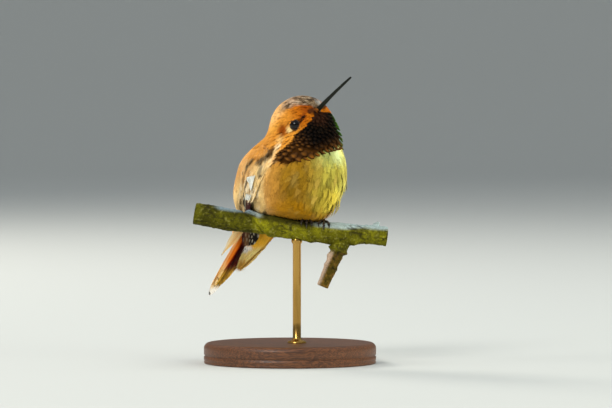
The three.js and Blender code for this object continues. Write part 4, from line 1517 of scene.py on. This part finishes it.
# Each bundle's line, widths and depths along it, side of the tail, tones and slot.
COVERTS = {
    "under": (
        ((-3, 0, -4.2), (6, 0, -3.9), (19.5, -0.4, -3)),
        (3.5, 5.2, 4.4, 2.8, 0.7),
        (2.4, 2.1, 1.6, 1, 0.4),
        -1,
        (srgb(246, 188, 52), srgb(248, 226, 146)),
        "belly_plumage",
    ),
    "upper": (
        ((-4, 0, 4.4), (4, 0, 3.9), (14.5, 0, 2.2)),
        (4.4, 5.8, 5, 3.4, 0.8),
        (2.4, 2, 1.6, 0.9, 0.4),
        1,
        (srgb(226, 150, 76), srgb(244, 200, 138)),
        "rufous_plumage",
    ),
}


def undertail_marks(tint, spread):
    """Golden streaks, and on the right side a white spot over a dark line."""
    forward, right, _ = np.moveaxis(tail.into(spread), -1, 0)
    golden = smoothstep(0.55, 0.7, noise(spread - 0.6 * forward[..., None] * tail.axes[0], 1.3, 33))
    spot = spread - tail.out([12.6, 4.2, -3.8]) - [0, 0, 0.9]
    rise = spot[..., 2] - 0.25 * spot[..., 0]
    white = smoothstep(1.2, 0.9, np.hypot(spot[..., 0] / 2.5, rise / 1.1)) * (right > 0)
    line = smoothstep(0.2, 0.05, np.abs(rise + 0.35)) * (np.abs(spot[..., 0]) < 1.3) * (right > 0)
    return painted(
        tint,
        (srgb(214, 150, 34), 0.75 * golden),
        (srgb(255, 254, 252), white),
        (srgb(50, 34, 22), 0.8 * line),
    )


def make_tail_coverts():
    """Soft bundles over and under the root of the tail."""
    rows, columns = np.array((0, 0.3, 0.55, 0.75, 0.9, 1)), np.linspace(-1, 1, 5)
    sink = 0.94 - 0.16 * (1 - rows)
    fringe = dict(many=26, reach=(0.8, 1.9), thick=(0.07, 0.12), spread=0.3, stand=0.02, start=0.45)
    for name, (points, widths, depths, facing, tones, slot) in COVERTS.items():
        path = Path([tail.out(p) for p in points])
        feathers, width = [], []
        for number, start in enumerate(np.linspace(0.02, 0.74, 13)):
            count = 9 if number % 2 else 10
            for angle in np.radians(np.linspace(-100, 100, count) + rng.normal(0, 3, count)):
                s = start + rng.uniform(0.24, 0.32) * rows
                across, over = tail.axes[1] * math.sin(angle), tail.axes[2] * facing * math.cos(angle)
                wide, deep = level_at(widths, s), level_at(depths, s)
                line = path.at(s) + across * (wide * sink)[:, None] + over * (deep * sink)[:, None]
                out = unit(across * deep[3] + over * wide[3])
                forward = unit(np.gradient(line, axis=0))
                normal = np.broadcast_to(out, line.shape)
                feathers.append((line, normal, unit(np.cross(out, forward)), forward))
                width.append(rng.uniform(1.9, 2.7))
        feathers = [np.array(every) for every in zip(*feathers)]
        feathers.append(0.5 * np.array(width)[:, None] * round_tip(rows))

        def colour(centre, side, half, s, t, roots):
            spread = spread_over(centre, side, half, t)
            patchy = noise(spread, 2.4, 31)
            if name == "under":
                forward = tail.into(spread)[..., 0]
                tint = mix(*tones, smoothstep(8.0, 12.5, forward + 3 * (patchy - 0.5)))
                tint = undertail_marks(tint, spread)
            else:
                tint = mix(*tones, patchy)
            return tint * ((0.88 + 0.12 * s)[:, None] * (1 - 0.16 * bell(t, 0.3)))[..., None]

        coat, roots = Coat(), feathers[0][:, 0]
        add_feathers(coat, feathers, (rows, columns), colour, roots, fringe, cup=0.2, thickness=0.04)
        material = feather_material(f"tail_{name}_feathers", 80, 0.92)
        coat.make(f"coat_tail_{name}", material, slot, f"tail_coverts_{name}")


# ---- Bill, eyes, legs and feet ----


def make_bill():
    """Two half shells that meet at a seam and share one bowed line."""
    length = BILL_LENGTH + 1
    t = np.linspace(0, 1, 200)[:, None]
    middle, tip = (bill_root + head.turn(p) for p in ([length / 2, 0, 2 * BILL_BOW], [length, 0, 0]))
    line = (1 - t) ** 2 * bill_root + 2 * t * (1 - t) * middle + t**2 * tip
    path = Path([*line[::20], tip])
    _, across_way, up_way = head.axes
    widths = (BILL_BASE_RADIUS * 1.2, BILL_BASE_RADIUS * 0.9, 0.48, 0.4, BILL_TIP_RADIUS)
    depths = (BILL_BASE_RADIUS * 1.1, BILL_BASE_RADIUS * 0.85, 0.48, 0.4, BILL_TIP_RADIUS)
    dark, light = srgb(6, 8, 4), srgb(20, 24, 12)
    horn = plain_material("horn", dark, light, 900, 0.5, 0.00003, (0.2, 1, 1), specular=0.3)
    for name, sign in (("bill_upper", 1), ("bill_lower", -1)):
        rings, s, angle = swept(path, steady(up_way), widths, depths, 40, 120)
        inside = rings - path.at(s)[:, None]
        height, across = inside @ up_way, inside @ across_way
        rest = inside - height[..., None] * up_way - across[..., None] * across_way
        width = level_at(widths, s)[:, None]
        # Points past the seam are drawn back to it.
        seam = -0.08 + 0.02 * sign
        height = np.maximum(height, seam) if sign > 0 else np.minimum(height, seam)
        if sign > 0:
            height = height + 0.06 * bell(angle - math.pi / 2, 0.35) * width  # the culmen
        else:
            across = across * (1 - 0.1 * smoothstep(0, 0.2, s)[:, None])
        rounding = np.sqrt(np.clip(1 - ((s - 0.965) / 0.0355).clip(0, 1) ** 2, 0.02, 1))[:, None]
        groove = bell(np.abs(inside @ across_way) / width - 0.85, 0.12) * smoothstep(0.35, 0.05, s)[:, None]
        shaped = rest + across_way * (across * rounding * (1 - 0.16 * groove))[..., None]
        shaped = shaped + up_way * (height * rounding)[..., None]
        wear(mesh_object(f"{name}_horn", *tube(path.at(s)[:, None] + shaped), horn), "horn", name)


def make_eyes():
    """Glossy balls, each with a thin lid of bare skin where it meets the coat."""
    gloss = eye_material()
    lid_skin = plain_material("lid", srgb(30, 20, 12), srgb(74, 48, 26), 3000, 0.6, 0.00003)
    lid_level = 0.52 * EYE_RADIUS
    lid_reach = math.sqrt(EYE_RADIUS**2 - lid_level**2) + 0.03
    for side, centre in eye_centres.items():
        look = body_normal(laid(centre[None], 0))[0]
        first = unit(np.cross(look, head.axes[2]))
        second = np.cross(look, first)
        verts, tris = tube(centre + EYE_RADIUS * sphere_rings(32, 48) @ np.array([first, second, look]))
        wear(mesh_object(f"eye_ball_{side}", verts, tris[:, ::-1], gloss), "eye", f"eye_{side}")
        turn, section = around(64)[:, None], around(12)[:, None]
        out = first * np.cos(turn) + second * np.sin(turn)
        middle = centre + look * lid_level + out * lid_reach
        thick = (0.13 + 0.02 * np.sin(7 * turn))[:, None]
        rings = middle[:, None] + (np.cos(section) * out[:, None] + np.sin(section) * look) * thick
        verts, tris = tube(np.concatenate([rings, rings[:1]]), closed_ends=False)
        wear(mesh_object(f"lid_{side}", verts, tris, lid_skin), "eye")


def perch_middle(x):
    """The middle of the perch at that place along it."""
    line = perch_path.line
    return np.array([np.interp(x, line[:, 0], line[:, k]) for k in range(3)])


def round_perch(x, angle, radius):
    """A point about the perch: at angle 0 in front of it and at 90 above it."""
    _, across, high = perch_middle(x)
    a = math.radians(angle)
    return np.array([x, across - radius * math.cos(a), high + radius * math.sin(a)])


# Each toe's name, its tip's place beside the foot's middle, and the angles of its root, tip and claw's tip.
TOES = (
    ("inner", -1.5, 96, 50, 26),
    ("middle", 0, 96, 40, 14),
    ("outer", 1.5, 96, 52, 28),
    ("hind", 0.3, 104, 148, 174),
)
TOE_RING = PERCH_RADIUS + TOE_RADIUS + 0.22
ANKLE_ANGLE = 98


def toe_shape(s, angle):
    """Rings of scales over a toe's back, and three pads under it."""
    plates = 0.09 * np.abs(np.sin(s * math.pi * 8)) ** 0.6 * np.clip(np.sin(angle), 0, 1)
    pads = 0.12 * np.sin(s * math.pi * 3) ** 2 * np.clip(-np.sin(angle), 0, 1)
    return 0.94 + plates + pads


def tarsus_shape(s, angle):
    """Scales down the front of the leg."""
    return 0.95 + 0.07 * np.abs(np.sin(s * math.pi * 9)) * np.clip(np.cos(angle), 0, 1)


def make_feet():
    skin = plain_material("toe_skin", srgb(20, 17, 14), srgb(52, 44, 36), 2500, 0.55, 0.00005)
    horn = plain_material("claw_horn", srgb(12, 10, 9), srgb(36, 30, 26), 1500, 0.3, 0.00002)
    part = np.linspace(0, 1, 6)
    toe_sizes = TOE_RADIUS * np.array((1.1, 0.95, 1.02, 0.9, 0.95))
    claw_sizes = CLAW_RADIUS * np.array((1.05, 0.85, 0.62, 0.36, 0.06))
    tarsus_sizes = TARSUS_RADIUS * np.array((1, 0.9, 1.2))
    for side, x in FEET.items():
        middle = perch_middle(x)
        toes = []
        for name, aside, start, end, claw in TOES:
            stations, turns = x + aside * part**0.5, start + (end - start) * part
            path = Path([round_perch(*place, TOE_RING - 0.12) for place in zip(stations, turns)])

            def outward(s):
                return unit((path.at(s) - middle) * [0, 1, 1])

            toes.append(tube(swept(path, outward, toe_sizes, toe_sizes, 18, 48, toe_shape)[0]))
            turn = 2 * np.sign(claw - end)
            points = []
            for p in part:
                radius = TOE_RING - 0.1 + 0.22 * math.sin(p * 2.6) - 0.3 * p
                points.append(round_perch(x + aside, end + (claw - end) * p + turn * (1 - p), radius))
            rings, _, _ = swept(Path(points), steady([1.0, 0, 0]), claw_sizes, claw_sizes, 12, 26)
            claw_mesh = mesh_object(f"claw_{side}_{name}_horn", *tube(rings), horn)
            wear(claw_mesh, "horn", f"claw_{side}_{name}")
        joint = round_perch(x, ANKLE_ANGLE, TOE_RING - 0.05)
        verts, tris = tube(joint + sphere_rings(14, 20) * TOE_RADIUS * 1.35)
        toes.append((verts, tris[:, ::-1]))
        wear(mesh_object(f"toes_{side}", *merged(toes), skin), "leg_skin", f"foot_{side}")
        ankle = round_perch(x, ANKLE_ANGLE, TOE_RING + 0.75)
        knee = ankle + np.array([-2, 1.5, 3.8])
        path = Path([ankle - [0, 0, 0.7], (ankle + knee) / 2 + [0.1, 0, 0], knee])
        rings, _, _ = swept(path, steady([0, -1.0, 0]), tarsus_sizes, tarsus_sizes, 18, 40, tarsus_shape)
        wear(mesh_object(f"tarsus_{side}", *tube(rings), skin), "leg_skin", f"leg_{side}")


# ---- Perch and stand ----


# Each knot's place along the perch, angle about it, radius and height.
KNOTS = (
    (-20, 60, 1.0, 0.5),
    (-4, 20, 0.8, 0.3),
    (13, 150, 1.2, 0.5),
    (18.5, -40, 1.4, 0.7),
    (6, -70, 1.0, 0.5),
)
TWIG_LINE = ((15.6, -0.2, -3.6), (13.9, -0.6, -8), (11.7, -0.9, -13), (9.4, -1.2, -18.5))
BUD_LINE = ((24.4, 0, -2.4), (24.9, -0.1, -1.2), (25.6, -0.2, 0.1))


def bark_rings(path, outward, widths, depths, sides, steps, seed, rough):
    """A branch's rings with lumps, fine grain and a few short cracks.

    Also gives the rings' middles, each point's way out and share of a crack, and the rings' places.
    """
    rings, s, _ = swept(path, outward, widths, depths, sides, steps)
    middle = path.at(s)[:, None]
    out = unit(rings - middle)
    along = path.along(np.array([0.5]))[0]
    stretched = rings - (rings @ along)[..., None] * along * 0.55
    lumps = layered_noise(rings, 5.0, seed, 2) - 0.5
    grain = layered_noise(stretched, 0.55, seed + 3, 3) - 0.5
    knobs = smoothstep(0.62, 0.85, noise(rings, 1.3, seed + 9))
    cracks = smoothstep(0.07, 0.0, np.abs(layered_noise(stretched, 1.5, seed + 5, 2) - 0.5))
    cracks = cracks * smoothstep(0.5, 0.7, noise(rings, 2.6, seed + 11))
    height = rough * (0.8 * lumps + 0.5 * grain + 0.3 * knobs - 0.3 * cracks)
    return rings + out * height[..., None], middle, out, cracks, s


def bark_tint(verts, twig_path):
    """Green algae on the front and underside, a painted blue grey highlight of sky light along the top, a
    painted shadow where the bird sits, brown and pink on the twig.
    """
    x, line, twig = verts[:, 0], perch_path.line, twig_path.line
    height = verts[:, 2] - np.interp(x, line[:, 0], line[:, 2])
    moss = layered_noise(verts, 4.0, 61)
    colour = mix(srgb(94, 92, 5), srgb(128, 126, 16), smoothstep(0.35, 0.65, moss))
    colour = mix(colour, colour * 0.75, smoothstep(10, 14, x))
    colour = mix(colour, srgb(44, 42, 8), smoothstep(0.5, 0.7, layered_noise(verts, 0.8, 62)) * 0.5)
    colour = mix(colour, colour * 0.42, smoothstep(-9.5, -11.5, x))
    left = smoothstep(-9, -12, x)
    # ridge: where a painted highlight of blue grey sky light runs along the top.
    ridge = smoothstep(1.3, 2.3, height + 1.2 * (moss - 0.5) - 0.8 * left) * (1 - smoothstep(-19, -23, x))
    # Where the bird's painted shadow falls on the perch under it.
    painted_bird_shadow = smoothstep(-9, -7, x) * smoothstep(9, 5, x)
    pink = smoothstep(-0.5, -1.6, x - np.interp(-verts[:, 2], -twig[:, 2], twig[:, 0]))
    brown = mix(srgb(70, 58, 10), srgb(112, 84, 34), smoothstep(0.4, 0.65, layered_noise(verts, 1.6, 64)))
    twig_colour = mix(brown, srgb(200, 176, 158), pink * (0.5 + 0.5 * moss))
    return painted(
        colour,
        (srgb(176, 172, 96), smoothstep(0.68, 0.82, noise(verts, 0.5, 63)) * 0.22),
        # Painted highlight of sky light along the top, left out under the bird.
        (mix(srgb(156, 174, 178), srgb(128, 150, 164), left), ridge * 0.9 * (1 - painted_bird_shadow)),
        # Painted shadow of the bird on the perch's top.
        (srgb(30, 28, 8), 0.8 * painted_bird_shadow * smoothstep(0.6, 2.0, height)),
        (twig_colour, smoothstep(-4.2, -6.0, height) * (x > 6)),
    )


def make_perch():
    up, front = steady([0, 0, 1.0]), steady([0, -1.0, 0])
    rings, middle, out, cracks, _ = bark_rings(perch_path, up, PERCH_WIDTHS, PERCH_DEPTHS, 84, 420, 41, 0.55)
    # The old joint at the left: a swelling with a slanting furrow.
    slant = rings[..., 0] + 10.2 + 1.3 * (rings[..., 2] - middle[..., 2]) * 0.8
    rings = rings + out * (0.55 * bell(slant - 1.6, 1.7) - 0.6 * bell(slant, 0.55))[..., None] * 0.8
    for x, angle, size, tall in KNOTS:
        away = np.linalg.norm(rings - round_perch(x, angle, 3), axis=-1)
        rings = rings + out * (tall * bell(away, size) - 0.5 * tall * bell(away, 0.4 * size))[..., None]

    twig_path = perch_line(TWIG_LINE)
    twig, twig_middle, twig_out, twig_cracks, s = bark_rings(
        twig_path, front, (3, 2.5, 1.9, 1.8, 1.7), (2.8, 2.4, 1.9, 1.8, 1.7), 60, 170, 51, 0.4
    )
    for at, tall in ((0.3, 0.5), (0.36, -0.3), (0.62, 0.2)):
        twig = twig + twig_out * (tall * bell(s - at, 0.03))[:, None, None]
    away = np.linalg.norm(twig - twig_middle[70, 0] - np.array([-1.9, -0.6, 0.2]), axis=-1)
    twig = twig + twig_out * (0.55 * bell(away, 0.8))[..., None]

    sizes = (1.5, 1.2, 0.4)
    twisted = lambda s, angle: 1 + 0.08 * np.sin(s * 20 + 2 * angle)
    bud, _, _ = swept(perch_line(BUD_LINE), front, sizes, sizes, 24, 20, twisted)
    verts, tris = merged([tube(rings), tube(twig), tube(bud)])
    # Each tube has a vertex more at either end, and the bud has no cracks.
    bark_share = np.concatenate([cracks.ravel(), [0, 0], twig_cracks.ravel(), [0, 0]])
    crack_share = np.pad(bark_share, (0, len(verts) - len(bark_share)))
    colour = mix(bark_tint(verts, twig_path), srgb(34, 30, 14), crack_share * 0.75)
    for centre in perch_path.at(np.array([0, 1])):
        colour[np.linalg.norm(verts - centre, axis=1) < 0.4] = srgb(196, 168, 120)
    wear(mesh_object("perch_bark", verts, tris, bark_material(), colour), "bark", "perch")
    make_cut_ends(twig_path)


def make_cut_ends(twig_path):
    """Pale sawn faces with growth rings at the ends of the perch and the twig."""
    material = tinted_material("cut_wood", 2500, (0.8, 0.78, 0.75), (1.1,) * 3, 0.4, 0.00008, 0.8)
    parts, colours = [], []
    for path, s, radius in ((perch_path, 0.0, 2.75), (perch_path, 1.0, 2.45), (twig_path, 1.0, 1.5)):
        centre, way = path.at(np.array([s]))[0], path.along(np.array([s]))[0] * (1 if s else -1)
        first = unit(np.cross(way, [0, 0, 1.0] if abs(way[2]) < 0.9 else [1.0, 0, 0]))
        second = np.cross(way, first)
        reach = np.array([0.001, 0.25, 0.5, 0.75, 0.9, 1.0, 1.0, 0.001]) * radius
        depth = np.array([0.09, 0.1, 0.1, 0.09, 0.07, 0.02, -0.25, -0.25])
        angle = around(48)[:, None]
        ring = first * np.cos(angle) + second * np.sin(angle)
        verts, tris = tube(centre + way * depth[:, None, None] + ring[None] * reach[:, None, None])
        parts.append((verts, tris))
        away = np.linalg.norm(verts - centre, axis=1) / radius
        ring_shade = 0.5 + 0.5 * np.sin(away * 26 + 3 * noise(verts, 2.0, 71))
        colour = mix(srgb(186, 156, 106), srgb(214, 190, 144), ring_shade)
        colours.append(mix(colour, srgb(84, 62, 34), smoothstep(0.86, 1.0, away)))
    verts, tris = merged(parts)
    wear(mesh_object("perch_cut_ends", verts, tris, material, np.concatenate(colours)), "bark")


def lathe(profile, sides=128):
    """Rings of a turned shape, from the radii and heights of its profile."""
    radius, height = np.array(profile).T[..., None]
    angle = around(sides)
    return np.stack([radius * np.cos(angle), radius * np.sin(angle), height * np.ones(sides)], -1)


def make_stand():
    r, h = BASE_RADIUS, BASE_HEIGHT
    edge, quarter = 1.6, np.linspace(0, math.pi / 2, 12)
    corner = [(r - edge + edge * math.sin(a), h - edge + edge * math.cos(a)) for a in quarter]
    foot = [(r, 1.2), (r - 0.12, 0.9), (r - 0.12, 0.6), (r, 0.4), (r - 0.15, 0.1), (r - 0.4, 0.0)]
    groove = [(r, 2.6), (r - 0.3, 2.4), (r - 0.3, 2.2), (r, 2.0)]
    flat = [(0.01, h), (r * 0.3, h), (r * 0.6, h), (r - 2.2, h)]
    profile = flat + corner + [(r, 3.4)] + groove + foot + [(r * 0.5, 0.0), (0.01, 0.0)]
    verts, tris = tube(lathe(profile))
    wear(mesh_object("base_turned", verts, tris[:, ::-1], wood_material()), "stand_wood", "stand_base")
    dark, light = srgb(176, 132, 62), srgb(206, 164, 88)
    brass = plain_material("brass", dark, light, 1200, 0.24, 0.00001, (1, 1, 0.05), metallic=1.0)
    _, across, high = perch_middle(ROD_STATION)
    top, q = high - PERCH_RADIUS, ROD_RADIUS
    collar = [(1.6, -0.5), (1.6, 0.35), (1.3, 0.7), (0.5, 0.95), (0, 1.5), (0, 6)]
    holder = [(0, -1.2), (0.35, -0.7), (0.4, -0.2), (0.3, 0.45)]
    profile = [(0.01, h - 0.5)] + [(q + wider, h + up) for wider, up in collar] + [(q, (h + top) / 2)]
    profile += [(q + wider, top + up) for wider, up in holder] + [(0.01, top + 0.5)]
    rings = lathe(profile, 64) + np.array([ROD_STATION, across, 0])
    wear(mesh_object("rod_turned", *tube(rings), brass), "stand_brass", "stand_rod")


# ---- Studio ----


# Each lamp's place and width in metres, its power in watts and its colour. Only the key lamp shows in gloss.
LAMPS = {
    "key": ((-0.5, -0.8, 0.75), 0.42, 7.0, (1.0, 0.97, 0.92)),
    "fill": ((0.9, -0.5, 0.35), 0.8, 6.5, (0.98, 1.0, 0.86)),
    "rim": ((-0.6, 0.75, 0.6), 0.4, 8.0, (1.0, 0.95, 0.86)),
    "sky": ((0.2, 0.3, 1.1), 0.6, 4.0, (0.84, 0.93, 1.0)),
    "low": ((0.75, -0.95, 0.05), 0.5, 8.5, (1.0, 0.98, 0.92)),
    "side": ((-1.0, -0.2, 0.3), 0.5, 6.4, (1.0, 0.96, 0.88)),
    "edge": ((1.0, 0.25, 0.12), 0.5, 5.0, (1.0, 0.98, 0.84)),
}
# The floor's rings, as radii and heights in millimetres.
FLOOR = (
    (0.001, 200, 600, 1200, 1900, 2300, 2700, 3050, 3300, 3450, 3500),
    (0, 0, 0, 0, 0, 60, 220, 520, 950, 1600, 2600),
)
AIM = np.array([4.64, 0, 46.2]) * MM
CAMERA_DISTANCE = 1.479
CAMERA_ELEVATION = math.radians(2)


def aimed(name, data, place, direction):
    """An object in the scene whose -Z looks along a direction."""
    obj = bpy.data.objects.new(name, data)
    obj.location = place
    obj.rotation_mode = "QUATERNION"
    obj.rotation_quaternion = Vector(direction).to_track_quat("-Z", "Y")
    bpy.context.scene.collection.objects.link(obj)
    return obj


def make_studio():
    """A pale floor that curves up far away, soft lights and a camera."""
    scene = bpy.context.scene
    floor = Surface("studio").finish(base_color=(0.5, 0.51, 0.49, 1), roughness=0.9)
    verts, tris = tube(lathe(np.transpose(FLOOR), 96), closed_ends=False)
    mesh_object("studio_floor", verts, tris, floor)

    scene.view_settings.view_transform = "Standard"
    scene.view_settings.exposure = 0.0
    scene.world = bpy.data.worlds.new("studio_light")
    scene.world.use_nodes = True
    colour, strength = scene.world.node_tree.nodes["Background"].inputs[:2]
    colour.default_value = (0.86, 0.93, 1.0, 1)
    strength.default_value = 0.55
    for name, (place, size, power, tone) in LAMPS.items():
        light = bpy.data.lights.new(name, "AREA")
        light.shape, light.size, light.energy, light.color = "DISK", size, power, tone
        aimed(name, light, place, AIM - np.array(place)).visible_glossy = name == "key"

    camera = bpy.data.cameras.new("camera")
    camera.lens, camera.sensor_width = 300, 36
    camera.clip_start, camera.clip_end = 0.05, 20
    back = np.array([0, -math.cos(CAMERA_ELEVATION), math.sin(CAMERA_ELEVATION)])
    scene.camera = aimed("camera", camera, AIM + back * CAMERA_DISTANCE, -back)


make_skin()
make_head_coat()
make_gorget()
make_trunk_coat()
make_back_coat()
make_tail_coverts()
make_wings()
make_tail()
make_bill()
make_eyes()
make_feet()
make_perch()
make_stand()
make_studio()
